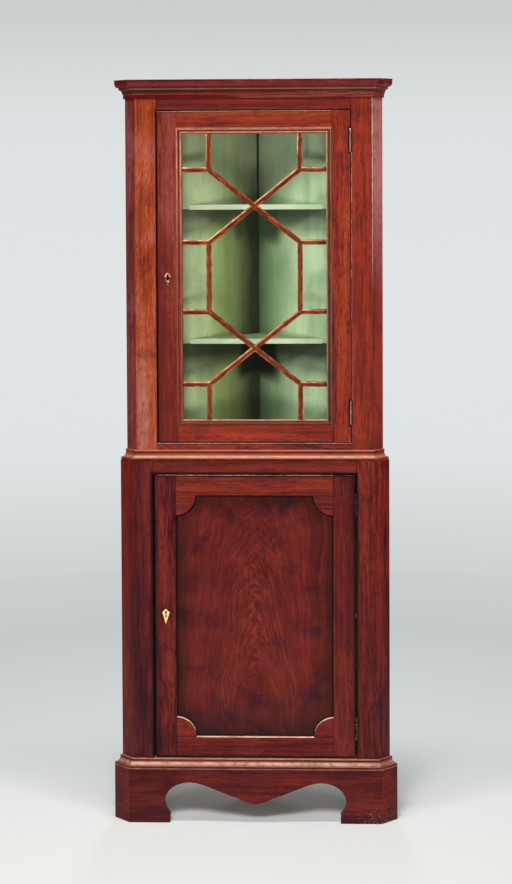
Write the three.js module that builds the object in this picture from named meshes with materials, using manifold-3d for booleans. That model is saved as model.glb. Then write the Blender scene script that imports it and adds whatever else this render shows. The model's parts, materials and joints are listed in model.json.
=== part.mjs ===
// A two-stage corner cupboard with canted front corners, a glazed door over a panelled door.
// Millimetres, +Z up. It faces -Y, and its two back walls meet at a right angle behind the middle.
import * as THREE from 'three';
import { mergeVertices } from 'three/addons/utils/BufferGeometryUtils.js';
import Module from 'manifold-3d';

const wasm = await Module();
wasm.setup();

// Plan of the two stages
const faceHalf = 330.5; // middle of the lower front to its canted corner
const lowerCant = 35; // how far the lower canted corner runs across, and back
const upperCant = 28.5;
const upperSetback = 23; // upper front behind the lower front
const wallDepth = faceHalf + 2 * lowerCant; // lower front to the corner of the room

// Heights
const plinthHeight = 148.5;
const baseMouldingHeight = 20;
const postFoot = 112; // underside of the lower posts and backs, behind the plinth
const lowerCaseTop = 980.3;
const waistMouldingHeight = 27.3;
const upperCaseHeight = 989.7;
const corniceHeight = 50;
const corniceRise = 20; // cornice above the upper case

// Boards
const faceBoard = 22; // face stiles, rails and doors
const cantBoard = 18;
const backBoard = 12;
const backLap = 8; // back board lapped in the rebate of the canted board
const housing = 4; // shelves and case boards let into the backs
const floorBoard = 22; // bottom board of the lower case
const tableBoard = 19.4; // board between the two stages
const upperFloorBoard = 16;
const upperTopBoard = 13.7;
const shelfBoard = 14;
const upperShelfSetback = 175; // shelf edge behind the front of its case
const lowerShelfSetback = 38;
const highShelfRise = 656.7; // above the foot of the upper case
const lowShelfRise = 280.7;
const lowerShelfRise = 376.7; // above the floor of the lower case
const plankWidth = 170;
const plankJoint = 3; // width of the V between two back planks

// Face frames
const upperStileFace = 56.5;
const lowerStileFace = 54.5;
const friezeRail = 61.7;
const upperBottomRail = 25.6;
const lowerTopRail = 34.6;
const tenonLength = 30;
const tenonCheek = 7.5; // wood before and behind a tenon
const tenonShoulder = 7;
const stopReach = 7; // door stop in the opening
const stopSeat = 12; // door stop glued to the back of the stile
const stopThickness = 10;

// Clearances
const fit = 0.3; // glue lines, and running clearance of metal in metal
const overrun = 1; // how far a cut runs past a face
const upperLockGap = 3;
const upperHingeGap = 2.5;
const upperEndGap = 2.5; // above and below the glazed door
const lowerLockGap = 6;
const lowerHingeGap = 4;
const lowerTopGap = 3;
const lowerSillGap = 3.1;

// Glazed door
const sashLockStile = 54.5; // flat face beside the moulded edge
const sashHingeStile = 50.5;
const sashRail = 47;
const stuckWidth = 14.25; // moulding worked on the inner edges
const glassLine = 8; // face of the door to the seat of the glass
const glassRebate = 8;
const glassThickness = 3;
const glassHold = 6; // how far the glass reaches behind the moulding
const barWidth = 14;
const barFace = 3.5; // flat of the bar behind the face of the door
const barDepth = 13;
const stemWidth = 4; // bar between two panes
const beadWidth = 7;
const beadCrown = 1; // flat on top of the bead
const beadFace = 0.3;
const beadRoot = 7.3; // how deep the bead is sunk in the bar
const barColumn = 123.4; // middle of the door to the upright bars
const middleBay = 188.5; // height of the middle row of panes
const crossBay = 196.5; // height of each crossed row

// Panelled door
const panelLockStile = 56;
const panelHingeStile = 59;
const panelRail = 55.5;
const spandrelRadius = 54;
const panelThickness = 8;
const panelRecess = 9;
const panelHold = 7.7; // panel let into the frame

// Hinges
const hingeLength = 57;
const knuckleCount = 5;
const knuckleRadius = 4;
const pinRadius = 2;
const tipRadius = 3;
const tipRise = 1.5;
const hingeProud = 2; // pin before the face of the door
const leafThickness = 2;
const leafWidth = 17;
const upperHingeInset = 80; // hinge middle from the end of the door
const lowerHingeInset = 81.5;

// Locks
const lockWidth = 42;
const lockHeight = 64;
const lockDepth = 10;
const boltLength = 25;
const boltHeight = 20;
const boltDepth = 5;
const upperThrow = 8;
const lowerThrow = 12;
const strikeSlack = 1; // room past the bolt's end in its mortise
const keyChamberWidth = 14;
const keyChamberHeight = 24;
const keyChamberDepth = 6;
const keyholeRadius = 3.1;
const keySlotWidth = 3;
const keySlotDrop = 15;
const escutcheonThickness = 1;
const escutcheonTopShare = 0.22; // of its height, above the keyhole
const upperKeyInset = 27.8; // keyhole from the edge of the door
const upperKeyRise = 454; // keyhole above the foot of the door
const upperEscutcheonWidth = 18;
const upperEscutcheonHeight = 38;
const lowerKeyInset = 28.4;
const lowerKeyRise = 396.2;
const lowerEscutcheonWidth = 20;
const lowerEscutcheonHeight = 41;

// Mouldings and plinth
const corniceProjection = 38;
const waistLedge = 2; // top of the lower case left showing before the waist moulding
const plinthProjection = 28.5;
const footHalf = 231; // middle to the inner edge of a bracket foot
const cuspHeight = 22;
const archHalf = 245.5;
const archHaunch = 57; // height at which the arch is widest
const archTop = 110;
const crownHalf = 177;
const nibHalf = 47;
const nibHeight = 67;
const dropHeight = 52;
const blockStart = 275; // middle to the inner side of a glue block
const blockDepth = 50;
const rearFootSize = 40;

// Facets
const curveSteps = 6;
const arcSteps = 10;
const roundSides = 24;
const tipRings = 8;

// A step of a moulding goes to a point, straight or round a bend. Points are shares of projection and height.
const corniceShares = [
  { to: [1, 1] },
  { to: [1, 0.85] },
  { to: [0.66, 0.58], bend: [0.97, 0.58] },
  { to: [0.6, 0.58] },
  { to: [0.6, 0.46] },
  { to: [0.26, 0.24], bend: [0.3, 0.46] },
  { to: [0.19, 0.24] },
  { to: [0.17, 0] },
];
const waistShares = [
  { to: [0.3, 1] },
  { to: [0.3, 0.78] },
  { to: [0.22, 0.78] },
  { to: [0.88, 0.26], bend: [0.3, 0.3] },
  { to: [1, 0.26] },
  { to: [1, 0] },
];
const baseShares = [
  { to: [0.33, 1] },
  { to: [0.33, 0.86] },
  { to: [0.28, 0.8] },
  { to: [0.93, 0.24], bend: [0.4, 0.24] },
  { to: [0.98, 0.24] },
  { to: [0.98, 0] },
];
// The moulded edge of the glazed door, in shares of its width and of the depth of the glass line.
const quirkShare = 0.36;
const edgeBeadStartShare = 0.1;
const edgeBeadEndShare = 0.54;
const edgeFilletShare = 0.76;
const edgeFilletDepthShare = 0.5;
const sightDepthShare = 0.86;
const edgeBendShares = [0.98, 0.52];
// How far the handles of the arch's curves reach, as shares of the run between their ends.
const cuspHandleShare = 0.55;
const haunchHandleShare = 0.58;
const crownHandleShare = 0.5;
const nibHandleShare = 0.4;

const rootHalf = Math.SQRT1_2;
const mitreAngle = Math.PI / 8; // between a mitre and the square of its sides
const mitreRun = Math.tan(mitreAngle); // face corner of an outline moved out by one
const rightAngle = Math.PI / 2;

const lower = { half: faceHalf, cant: lowerCant, face: 0 };
const upper = { half: wallDepth - upperSetback - 2 * upperCant, cant: upperCant, face: upperSetback };
const floorTop = plinthHeight + fit + baseMouldingHeight;
const tableBottom = lowerCaseTop + fit;
const tableTop = tableBottom + tableBoard;
const upperFoot = tableTop + fit;
const upperTop = upperFoot + upperCaseHeight;
const upperOpening = upper.half - upperStileFace;
const lowerOpening = lower.half - lowerStileFace;

const mahogany = { color: 0x8a3a22, roughness: 0.38, metalness: 0 };
const darkMahogany = { color: 0x6b2a20, roughness: 0.4, metalness: 0 };
const paintedPine = { color: 0x9fb886, roughness: 0.6, metalness: 0 };
const barePine = { color: 0x8a6a45, roughness: 0.8, metalness: 0 };
const windowGlass = { color: 0xdfe8e2, roughness: 0.05, metalness: 0, transparent: true, opacity: 0.25 };
const wornBrass = { color: 0x7a6138, roughness: 0.45, metalness: 1 };
const ironGrey = { color: 0x4a4642, roughness: 0.5, metalness: 1 };
const bone = { color: 0xf0dcae, roughness: 0.5, metalness: 0 };

function solidOf(geometry) {
  const bare = geometry.clone();
  bare.deleteAttribute('normal');
  bare.deleteAttribute('uv');
  const merged = mergeVertices(bare);
  const vertProperties = merged.attributes.position.array;
  const triVerts = Uint32Array.from(merged.index.array);
  return new wasm.Manifold(new wasm.Mesh({ numProp: 3, vertProperties, triVerts }));
}

function geometryOf(solid) {
  const { vertProperties, triVerts, numProp } = solid.getMesh();
  const geometry = new THREE.BufferGeometry();
  geometry.setAttribute('position', new THREE.BufferAttribute(Float32Array.from(vertProperties), numProp));
  geometry.setIndex(new THREE.BufferAttribute(Uint32Array.from(triVerts), 1));
  return geometry;
}

const joined = (first, ...others) => others.reduce((sum, next) => sum.add(next), first);
const cutBy = (first, ...others) => others.reduce((rest, next) => rest.subtract(next), first);
const vectorsOf = (points) => points.map(([x, y]) => new THREE.Vector2(x, y));
const shapeOf = (points) => new THREE.Shape(vectorsOf(points));

// Closes a half outline with its mirror image across x = 0.
function bothSides(half) {
  const mirrored = half.filter(([x]) => x !== 0).map(([x, y]) => [-x, y]);
  return [...half, ...mirrored.reverse()];
}

// An outline in plan, stood up between two heights.
function prism(outline, bottom, top) {
  const geometry = new THREE.ExtrudeGeometry(shapeOf(outline), { depth: top - bottom, bevelEnabled: false });
  geometry.translate(0, 0, bottom);
  return solidOf(geometry);
}

function box(left, right, front, back, bottom, top) {
  return prism([[left, front], [right, front], [right, back], [left, back]], bottom, top);
}

// A shape seen from the front, given its thickness backwards. hollow draws its edges in along a quarter
// round.
function plate(shape, front, back, hollow = 0) {
  const geometry = new THREE.ExtrudeGeometry(shape, {
    depth: back - front - 2 * hollow,
    bevelEnabled: hollow > 0,
    bevelThickness: hollow,
    bevelSize: -hollow,
    bevelSegments: curveSteps / 2,
    curveSegments: arcSteps,
  });
  geometry.rotateX(rightAngle);
  geometry.translate(0, back - hollow, 0);
  return solidOf(geometry);
}

// A section given as depth and height, drawn out from left to right.
function drawnAcross(section, left, right) {
  const geometry = new THREE.ExtrudeGeometry(shapeOf(section), { depth: right - left, bevelEnabled: false });
  geometry.rotateX(rightAngle);
  geometry.rotateZ(rightAngle);
  geometry.translate(left, 0, 0);
  return solidOf(geometry);
}

function rod(x, y, radius, bottom, top) {
  const geometry = new THREE.CylinderGeometry(radius, radius, top - bottom, roundSides);
  geometry.rotateX(rightAngle);
  geometry.translate(x, y, (bottom + top) / 2);
  return solidOf(geometry);
}

function ball(x, y, z, radius) {
  const geometry = new THREE.SphereGeometry(radius, roundSides, tipRings);
  geometry.rotateX(rightAngle);
  geometry.translate(x, y, z);
  return solidOf(geometry);
}

// A point on the right-hand wall of a case: along from the canted corner, and deep into the case.
function onWall(plan, along, deep) {
  const x = plan.half + plan.cant - (along + deep) * rootHalf;
  const y = plan.face + plan.cant + (along - deep) * rootHalf;
  return [x, y];
}

const wallLength = (plan) => (plan.half + plan.cant) / rootHalf;
const toSide = (points, side) => points.map(([x, y]) => [side * x, y]);

// The plan of a case moved out all round: right wall, right corner, left corner, left wall.
function planStations(plan, out) {
  const wallEnd = [plan.half + plan.cant + out * rootHalf, plan.face + plan.cant - out * rootHalf];
  const corner = [plan.half + out * mitreRun, plan.face - out];
  return [wallEnd, corner, [-corner[0], corner[1]], [-wallEnd[0], wallEnd[1]]];
}

// The plan between the upper and the lower case, out from the upper face.
function waistStations(out) {
  const share = out / upperSetback;
  const inner = planStations(upper, 0);
  const outer = planStations(lower, 0);
  const blend = (from, to) => from + (to - from) * share;
  return inner.map(([x, y], index) => [blend(x, outer[index][0]), blend(y, outer[index][1])]);
}

function profileShape(stepShares, projection, bottom, height) {
  const shape = new THREE.Shape();
  const place = ([out, up]) => [out * projection, bottom + up * height];
  shape.moveTo(fit, bottom + height);
  for (const { to, bend } of stepShares) {
    if (bend) {
      shape.quadraticCurveTo(...place(bend), ...place(to));
    } else {
      shape.lineTo(...place(to));
    }
  }
  shape.lineTo(fit, bottom);
  return shape;
}

// A profile run round the front of the cupboard, mitred at both corners.
function mitredRun(shape, stationsAt) {
  const runs = stationsAt(0).length - 1;
  const geometry = new THREE.ExtrudeGeometry(shape, {
    depth: runs,
    steps: runs,
    bevelEnabled: false,
    curveSegments: curveSteps,
  });
  const position = geometry.attributes.position;
  for (let index = 0; index < position.count; index += 1) {
    const [x, y] = stationsAt(position.getX(index))[Math.round(position.getZ(index))];
    position.setXYZ(index, x, y, position.getY(index));
  }
  return solidOf(geometry);
}

// The room inside a case behind a line, housed in the backs and clear of the canted boards.
function insidePlan(plan, front, clear) {
  const deep = backBoard - housing + clear;
  const along = cantBoard + clear;
  const [cornerX, cornerY] = onWall(plan, along, deep);
  const apex = [0, wallDepth - deep / rootHalf];
  if (front >= cornerY) {
    return bothSides([[apex[1] - front, front], apex]);
  }
  return bothSides([[cornerX - (cornerY - front), front], [cornerX, cornerY], apex]);
}

// The face stile and the canted board behind it, glued at a mitre.
function cornerStilePlan(plan, stileFace, side) {
  const inner = plan.half - stileFace;
  const rebate = backBoard + fit;
  const lap = cantBoard - backLap;
  const meeting = cantBoard + (plan.cant - faceBoard) / rootHalf;
  return toSide([
    [inner, plan.face],
    [plan.half, plan.face],
    onWall(plan, 0, 0),
    onWall(plan, lap, 0),
    onWall(plan, lap, rebate),
    onWall(plan, cantBoard, rebate),
    onWall(plan, cantBoard, meeting),
    [inner, plan.face + faceBoard],
  ], side);
}

// A strip glued behind the left stile, for the door to close against.
function doorStop(plan, stileFace, bottom, top) {
  const inner = plan.half - stileFace;
  const back = plan.face + faceBoard;
  const outline = [
    [inner - stopReach, back + fit],
    [inner, back + fit],
    [inner, back - overrun],
    [inner + stopSeat, back - overrun],
    [inner + stopSeat, back + stopThickness],
    [inner - stopReach, back + stopThickness],
  ];
  return prism(toSide(outline, -1), bottom, top);
}

// A tenon right across a rail, from one mortise to the other.
function tenon(member, clear) {
  return box(
    member.left - tenonLength - clear,
    member.right + tenonLength + clear,
    member.face + tenonCheek - clear,
    member.face + faceBoard - tenonCheek + clear,
    member.bottom + tenonShoulder - clear,
    member.top - tenonShoulder + clear,
  );
}

function squareRail(member) {
  const { left, right, face, bottom, top } = member;
  return joined(box(left, right, face, face + faceBoard, bottom, top), tenon(member, 0));
}

function caseRail(plan, opening, bottom, top) {
  return { left: -opening + fit, right: opening - fit, face: plan.face, bottom, top };
}

const frieze = caseRail(upper, upperOpening, upperTop - friezeRail, upperTop);
const bottomRail = caseRail(upper, upperOpening, upperFoot, upperFoot + upperBottomRail);
const lowerRail = caseRail(lower, lowerOpening, lowerCaseTop - lowerTopRail, lowerCaseTop);

// The doors, each with its hinge pin on the right and its lock on the left.
const upperDoor = {
  left: -upperOpening + upperLockGap,
  right: upperOpening - upperHingeGap,
  face: upper.face,
  bottom: bottomRail.top + upperEndGap,
  top: frieze.bottom - upperEndGap,
  hingeGap: upperHingeGap,
  hingeInset: upperHingeInset,
  keyInset: upperKeyInset,
  keyRise: upperKeyRise,
  throw: upperThrow,
  escutcheonWidth: upperEscutcheonWidth,
  escutcheonHeight: upperEscutcheonHeight,
};
const lowerDoor = {
  left: -lowerOpening + lowerLockGap,
  right: lowerOpening - lowerHingeGap,
  face: lower.face,
  bottom: floorTop + lowerSillGap,
  top: lowerRail.bottom - lowerTopGap,
  hingeGap: lowerHingeGap,
  hingeInset: lowerHingeInset,
  keyInset: lowerKeyInset,
  keyRise: lowerKeyRise,
  throw: lowerThrow,
  escutcheonWidth: lowerEscutcheonWidth,
  escutcheonHeight: lowerEscutcheonHeight,
};

const hingePin = (door) => [door.right + door.hingeGap / 2, door.face - hingeProud];
const hingeHeights = (door) => [door.top - door.hingeInset, door.bottom + door.hingeInset];

// One knuckle of a hinge, counted from the bottom. grow makes the room that it turns in.
function knuckle(door, middle, count, grow) {
  const [x, y] = hingePin(door);
  const pitch = hingeLength / knuckleCount;
  const bottom = middle - hingeLength / 2 + count * pitch;
  return rod(x, y, knuckleRadius + grow, bottom - grow, bottom + pitch - fit + grow);
}

function leaf(door, middle, side, grow) {
  const [x, y] = hingePin(door);
  const near = x + side * (door.hingeGap / 2 - grow);
  const far = x + side * (door.hingeGap / 2 + leafThickness + grow);
  const half = hingeLength / 2;
  return box(
    Math.min(near, far),
    Math.max(near, far),
    y,
    door.face + leafWidth + grow,
    middle - half - grow,
    middle + half - fit + grow,
  );
}

const knuckles = (door, middle, first, grow) => Array.from(
  { length: Math.ceil((knuckleCount - first) / 2) },
  (_, index) => knuckle(door, middle, first + 2 * index, grow),
);

function caseLeaf(door, middle) {
  const [x, y] = hingePin(door);
  const half = hingeLength / 2;
  const plateRest = cutBy(leaf(door, middle, 1, 0), ...knuckles(door, middle, 1, fit));
  return joined(
    plateRest,
    ...knuckles(door, middle, 0, 0),
    rod(x, y, pinRadius, middle - half, middle + half),
    ball(x, y, middle - half - tipRise, tipRadius),
    ball(x, y, middle + half + tipRise, tipRadius),
  );
}

function doorLeaf(door, middle) {
  const [x, y] = hingePin(door);
  const half = hingeLength / 2;
  const plateRest = cutBy(leaf(door, middle, -1, 0), ...knuckles(door, middle, 0, fit));
  const barrel = joined(plateRest, ...knuckles(door, middle, 1, 0));
  return barrel.subtract(rod(x, y, pinRadius + fit, middle - half, middle + half));
}

// What a hinge takes out of the wood beside it: the let-in leaf and the barrel with its tips.
function hingeRecess(door, middle, side) {
  const [x, y] = hingePin(door);
  const reach = hingeLength / 2 + tipRise + tipRadius + fit;
  const barrel = rod(x, y, knuckleRadius + fit, middle - reach, middle + reach);
  return barrel.add(leaf(door, middle, side, fit));
}

const hingeRecesses = (door, side) => hingeHeights(door).map((middle) => hingeRecess(door, middle, side));

function lockRoom(door, grow) {
  const middle = door.bottom + door.keyRise;
  const back = door.face + faceBoard;
  const out = Math.sign(grow) * overrun;
  return box(
    door.left - out,
    door.left + lockWidth + grow,
    back - lockDepth - grow,
    back + out,
    middle - lockHeight / 2 - grow,
    middle + lockHeight / 2 + grow,
  );
}

// The bolt, or with grow the channel it slides in. reach draws it out to the left.
function boltBar(door, grow, reach) {
  const height = door.bottom + door.keyRise;
  const depth = door.face + faceBoard - lockDepth / 2;
  return box(
    door.left + fit - reach,
    door.left + fit + boltLength + grow,
    depth - boltDepth / 2 - grow,
    depth + boltDepth / 2 + grow,
    height - boltHeight / 2 - grow,
    height + boltHeight / 2 + grow,
  );
}

function lockCase(door) {
  const keyX = door.left + door.keyInset;
  const keyZ = door.bottom + door.keyRise;
  const front = door.face + faceBoard - lockDepth;
  const chamber = box(
    keyX - keyChamberWidth / 2,
    keyX + keyChamberWidth / 2,
    front - overrun,
    front + keyChamberDepth,
    keyZ + keyholeRadius - keyChamberHeight,
    keyZ + keyholeRadius,
  );
  return cutBy(lockRoom(door, 0), boltBar(door, fit, overrun), chamber);
}

// A round hole with a slot below it, turned from the right of the slot over the top.
function keyholePoints(door) {
  const x = door.left + door.keyInset;
  const z = door.bottom + door.keyRise;
  const start = -Math.acos(keySlotWidth / 2 / keyholeRadius);
  const sweep = Math.PI - 2 * start;
  const points = [[x + keySlotWidth / 2, z - keySlotDrop]];
  for (let step = 0; step <= arcSteps; step += 1) {
    const angle = start + (sweep * step) / arcSteps;
    points.push([x + keyholeRadius * Math.cos(angle), z + keyholeRadius * Math.sin(angle)]);
  }
  points.push([x - keySlotWidth / 2, z - keySlotDrop]);
  return points;
}

function kitePoints(door, grow) {
  const x = door.left + door.keyInset;
  const z = door.bottom + door.keyRise;
  const above = door.escutcheonHeight * escutcheonTopShare;
  const below = door.escutcheonHeight - above;
  const half = door.escutcheonWidth / 2;
  return [
    [x, z + above + grow],
    [x + half + grow, z],
    [x, z - below - grow],
    [x - half - grow, z],
  ];
}

function escutcheon(door) {
  const shape = shapeOf(kitePoints(door, 0));
  shape.holes.push(new THREE.Path(vectorsOf(keyholePoints(door))));
  return plate(shape, door.face, door.face + escutcheonThickness);
}

// What a lock takes out of its stile: case, keyhole and the bed of the escutcheon.
function lockCuts(door) {
  const keyBack = door.face + faceBoard - lockDepth;
  const bed = shapeOf(kitePoints(door, fit / Math.sin(mitreAngle)));
  return [
    lockRoom(door, fit),
    plate(shapeOf(keyholePoints(door)), door.face - overrun, keyBack),
    plate(bed, door.face - overrun, door.face + escutcheonThickness + fit),
  ];
}

function strikeMortise(door) {
  return boltBar(door, fit, door.throw + strikeSlack);
}

function upperCorner(side) {
  const post = prism(cornerStilePlan(upper, upperStileFace, side), upperFoot, upperTop);
  const mortised = cutBy(post, tenon(frieze, fit), tenon(bottomRail, fit));
  if (side > 0) {
    return cutBy(mortised, ...hingeRecesses(upperDoor, side));
  }
  const stop = doorStop(upper, upperStileFace, upperDoor.bottom, upperDoor.top);
  return mortised.add(stop).subtract(strikeMortise(upperDoor));
}

function lowerCorner(side) {
  const post = prism(cornerStilePlan(lower, lowerStileFace, side), postFoot, lowerCaseTop);
  const mortised = cutBy(post, tenon(lowerRail, fit));
  if (side > 0) {
    return cutBy(mortised, ...hingeRecesses(lowerDoor, side));
  }
  const stop = doorStop(lower, lowerStileFace, lowerDoor.bottom, lowerDoor.top);
  return mortised.add(stop).subtract(strikeMortise(lowerDoor));
}

// Upright planks with a V at each joint on the wall side. The left back runs on to the corner of the room.
function backPlanks(plan, side, bottom, top, boards) {
  const start = cantBoard - backLap + fit;
  const end = wallLength(plan) - (side > 0 ? backBoard + fit : 0);
  const corners = [[start, 0], [end, 0], [end, backBoard], [start, backBoard]];
  const outline = corners.map(([along, deep]) => onWall(plan, along, deep));
  const planks = prism(toSide(outline, side), bottom, top);
  const grooves = [];
  for (let along = start + plankWidth; along < end - plankWidth / 2; along += plankWidth) {
    const mouth = -plankJoint / 2;
    const vee = [[along - plankJoint, mouth], [along, -mouth], [along + plankJoint, mouth]];
    const edges = vee.map(([run, deep]) => onWall(plan, run, deep));
    grooves.push(prism(toSide(edges, side), bottom - overrun, top + overrun));
  }
  return cutBy(planks, ...grooves, ...boards.map(housed));
}

function casePlank(plan, front, bottom, thickness) {
  return { plan, front, bottom, top: bottom + thickness };
}

const railBack = (plan) => plan.face + faceBoard + fit;
const upperFloorTop = bottomRail.top;
const upperBoards = [
  casePlank(upper, railBack(upper), upperFloorTop - upperFloorBoard, upperFloorBoard),
  casePlank(upper, upper.face + upperShelfSetback, upperFoot + lowShelfRise, shelfBoard),
  casePlank(upper, upper.face + upperShelfSetback, upperFoot + highShelfRise, shelfBoard),
];
const lowerBoards = [
  casePlank(lower, railBack(lower), floorTop - floorBoard, floorBoard),
  casePlank(lower, lower.face + lowerShelfSetback, floorTop + lowerShelfRise, shelfBoard),
];

const board = ({ plan, front, bottom, top }) => prism(insidePlan(plan, front, fit), bottom, top);
const housed = ({ plan, front, bottom, top }) => prism(insidePlan(plan, front, 0), bottom - fit, top + fit);

// The lower floor also comes forward between the posts to make the sill.
function lowerFloor() {
  const [floor] = lowerBoards;
  const half = lowerOpening - fit;
  const sill = box(-half, half, lower.face, floor.front + overrun, floor.bottom, floor.top);
  return board(floor).add(sill);
}

// A board with the upper case's outline, back to both walls.
function coverBoard(bottom, top) {
  const [wallEnd, corner] = planStations(upper, 0);
  return prism(bothSides([corner, wallEnd, [0, wallDepth]]), bottom, top);
}

function cornice() {
  const bottom = upperTop + corniceRise - corniceHeight;
  const shape = profileShape(corniceShares, corniceProjection, bottom, corniceHeight);
  return mitredRun(shape, (out) => planStations(upper, out));
}

function waistMoulding() {
  const projection = upperSetback - waistLedge;
  const shape = profileShape(waistShares, projection, tableBottom, waistMouldingHeight);
  return mitredRun(shape, waistStations);
}

function baseMoulding() {
  const shape = profileShape(baseShares, plinthProjection, plinthHeight + fit, baseMouldingHeight);
  return mitredRun(shape, (out) => planStations(lower, out));
}

// Half of the opening under the apron, from the floor up the foot, over the crown and down to the middle.
function archHalfPoints() {
  const path = new THREE.Path();
  const between = (from, to, share) => from + (to - from) * share;
  path.moveTo(footHalf, 0);
  path.lineTo(footHalf, cuspHeight);
  path.bezierCurveTo(
    between(footHalf, archHalf, cuspHandleShare), between(cuspHeight, archHaunch, cuspHandleShare / 2),
    archHalf, between(archHaunch, cuspHeight, cuspHandleShare),
    archHalf, archHaunch,
  );
  path.bezierCurveTo(
    archHalf, between(archHaunch, archTop, haunchHandleShare),
    between(crownHalf, archHalf, haunchHandleShare), archTop,
    crownHalf, archTop,
  );
  path.bezierCurveTo(
    between(crownHalf, nibHalf, crownHandleShare / 2), archTop,
    between(crownHalf, nibHalf, crownHandleShare), between(archTop, nibHeight, crownHandleShare),
    nibHalf, nibHeight,
  );
  path.quadraticCurveTo(nibHalf * nibHandleShare, dropHeight, 0, dropHeight);
  return path.getPoints(curveSteps).map(({ x, y }) => [x, y]);
}

// Three mitred boards with the arch sawn out of the front one, and a glue block behind each foot.
function plinth() {
  const out = plinthProjection;
  const section = shapeOf([[fit, 0], [out, 0], [out, plinthHeight], [fit, plinthHeight]]);
  const boards = mitredRun(section, (depth) => planStations(lower, depth));
  const arch = archHalfPoints().map(([x, z]) => [x, z === 0 ? -overrun : z]);
  const opening = plate(shapeOf(bothSides(arch)), -out - overrun, overrun);
  const blockTop = postFoot - fit;
  const [wallEnd, corner] = planStations(lower, fit + overrun);
  const along = blockDepth / rootHalf - lower.cant / rootHalf;
  const block = [[blockStart, corner[1]], corner, wallEnd, onWall(lower, along, 0), [blockStart, blockDepth]];
  const blocks = [1, -1].map((side) => prism(toSide(block, side), 0, blockTop));
  return joined(boards.subtract(opening), ...blocks);
}

// A square post under the floor, between the two backs.
function rearFoot() {
  const near = backBoard + fit;
  const far = near + rearFootSize;
  const half = (far - near) * rootHalf;
  const outline = [
    [0, wallDepth - near / rootHalf],
    [half, wallDepth - (near + far) * rootHalf],
    [0, wallDepth - far / rootHalf],
    [-half, wallDepth - (near + far) * rootHalf],
  ];
  return prism(outline, 0, lowerBoards[0].bottom - fit);
}

// Members of the glazed door. Its moulded edges meet at mitres, and its rails are tenoned.
const sashInner = {
  left: upperDoor.left + sashLockStile,
  right: upperDoor.right - sashHingeStile,
  bottom: upperDoor.bottom + sashRail,
  top: upperDoor.top - sashRail,
};
const sight = {
  x: (sashInner.left + sashInner.right) / 2,
  z: (sashInner.bottom + sashInner.top) / 2,
  half: (sashInner.right - sashInner.left) / 2 - stuckWidth,
  rise: (sashInner.top - sashInner.bottom) / 2 - stuckWidth,
};

// The moulded edge from the flat face to the back, as distance in from the flat and depth behind the face.
function stuckEdge() {
  const quirk = quirkShare * glassLine;
  const beadStart = edgeBeadStartShare * stuckWidth;
  const beadEnd = edgeBeadEndShare * stuckWidth;
  const beadRadius = (beadEnd - beadStart) / 2;
  const curve = new THREE.Path();
  curve.moveTo(0, 0);
  curve.lineTo(0, quirk);
  curve.lineTo(beadStart, quirk);
  curve.bezierCurveTo(beadStart, quirk - beadRadius, beadEnd, quirk - beadRadius, beadEnd, quirk);
  curve.lineTo(beadEnd, edgeFilletDepthShare * glassLine);
  curve.lineTo(edgeFilletShare * stuckWidth, edgeFilletDepthShare * glassLine);
  curve.quadraticCurveTo(
    edgeBendShares[0] * stuckWidth, edgeBendShares[1] * glassLine,
    stuckWidth, sightDepthShare * glassLine,
  );
  curve.lineTo(stuckWidth, glassLine);
  curve.lineTo(stuckWidth - glassRebate, glassLine);
  curve.lineTo(stuckWidth - glassRebate, faceBoard);
  return curve.getPoints(curveSteps).map(({ x, y }) => [x, y]);
}

function sashStileSolid(side) {
  const outer = side > 0 ? upperDoor.right : upperDoor.left;
  const inner = side > 0 ? sashInner.right : sashInner.left;
  const section = stuckEdge().map(([into, deep]) => [inner - side * into, upperDoor.face + deep]);
  const outline = [[outer, upperDoor.face], ...section, [outer, upperDoor.face + faceBoard]];
  const full = prism(outline, upperDoor.bottom, upperDoor.top);
  const beyondTop = railRoom(inner, side, sashInner.top, 1);
  const beyondBottom = railRoom(inner, side, sashInner.bottom, -1);
  const mortises = sashRails.map((rail) => tenon(rail, fit));
  return cutBy(full, beyondTop, beyondBottom, ...mortises);
}

// The part of a stile's moulded edge that gives way to a rail, beyond the mitre.
function railRoom(inner, side, corner, up) {
  const reach = stuckWidth + overrun;
  const outline = [
    [inner, corner],
    [inner - side * reach, corner - up * reach],
    [inner - side * reach, corner + up * (sashRail + overrun)],
    [inner, corner + up * (sashRail + overrun)],
  ];
  return plate(shapeOf(outline), upperDoor.face - overrun, upperDoor.face + faceBoard + overrun);
}

const sashRails = [-1, 1].map((up) => ({
  left: sashInner.left + fit,
  right: sashInner.right - fit,
  face: upperDoor.face,
  bottom: up > 0 ? sashInner.top : upperDoor.bottom,
  top: up > 0 ? upperDoor.top : sashInner.bottom,
  up,
}));

// The corner of a rail's moulded edge that gives way to a stile, a glue line short of the mitre.
function stileRoom(rail, side) {
  const corner = rail.up > 0 ? rail.bottom : rail.top;
  const reach = stuckWidth + overrun;
  const start = side > 0 ? rail.right : rail.left;
  const outline = [
    [start, corner],
    [start - side * reach, corner - rail.up * reach],
    [start + side * overrun, corner - rail.up * reach],
    [start + side * overrun, corner],
  ];
  return plate(shapeOf(outline), rail.face - overrun, rail.face + faceBoard + overrun);
}

function sashRailSolid(rail) {
  const inner = rail.up > 0 ? rail.bottom : rail.top;
  const outer = rail.up > 0 ? rail.top : rail.bottom;
  const edge = stuckEdge().map(([into, deep]) => [rail.face + deep, inner - rail.up * into]);
  const section = [[rail.face, outer], ...edge, [rail.face + faceBoard, outer]];
  const full = drawnAcross(section, rail.left, rail.right);
  return cutBy(full, stileRoom(rail, 1), stileRoom(rail, -1)).add(tenon(rail, 0));
}

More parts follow.
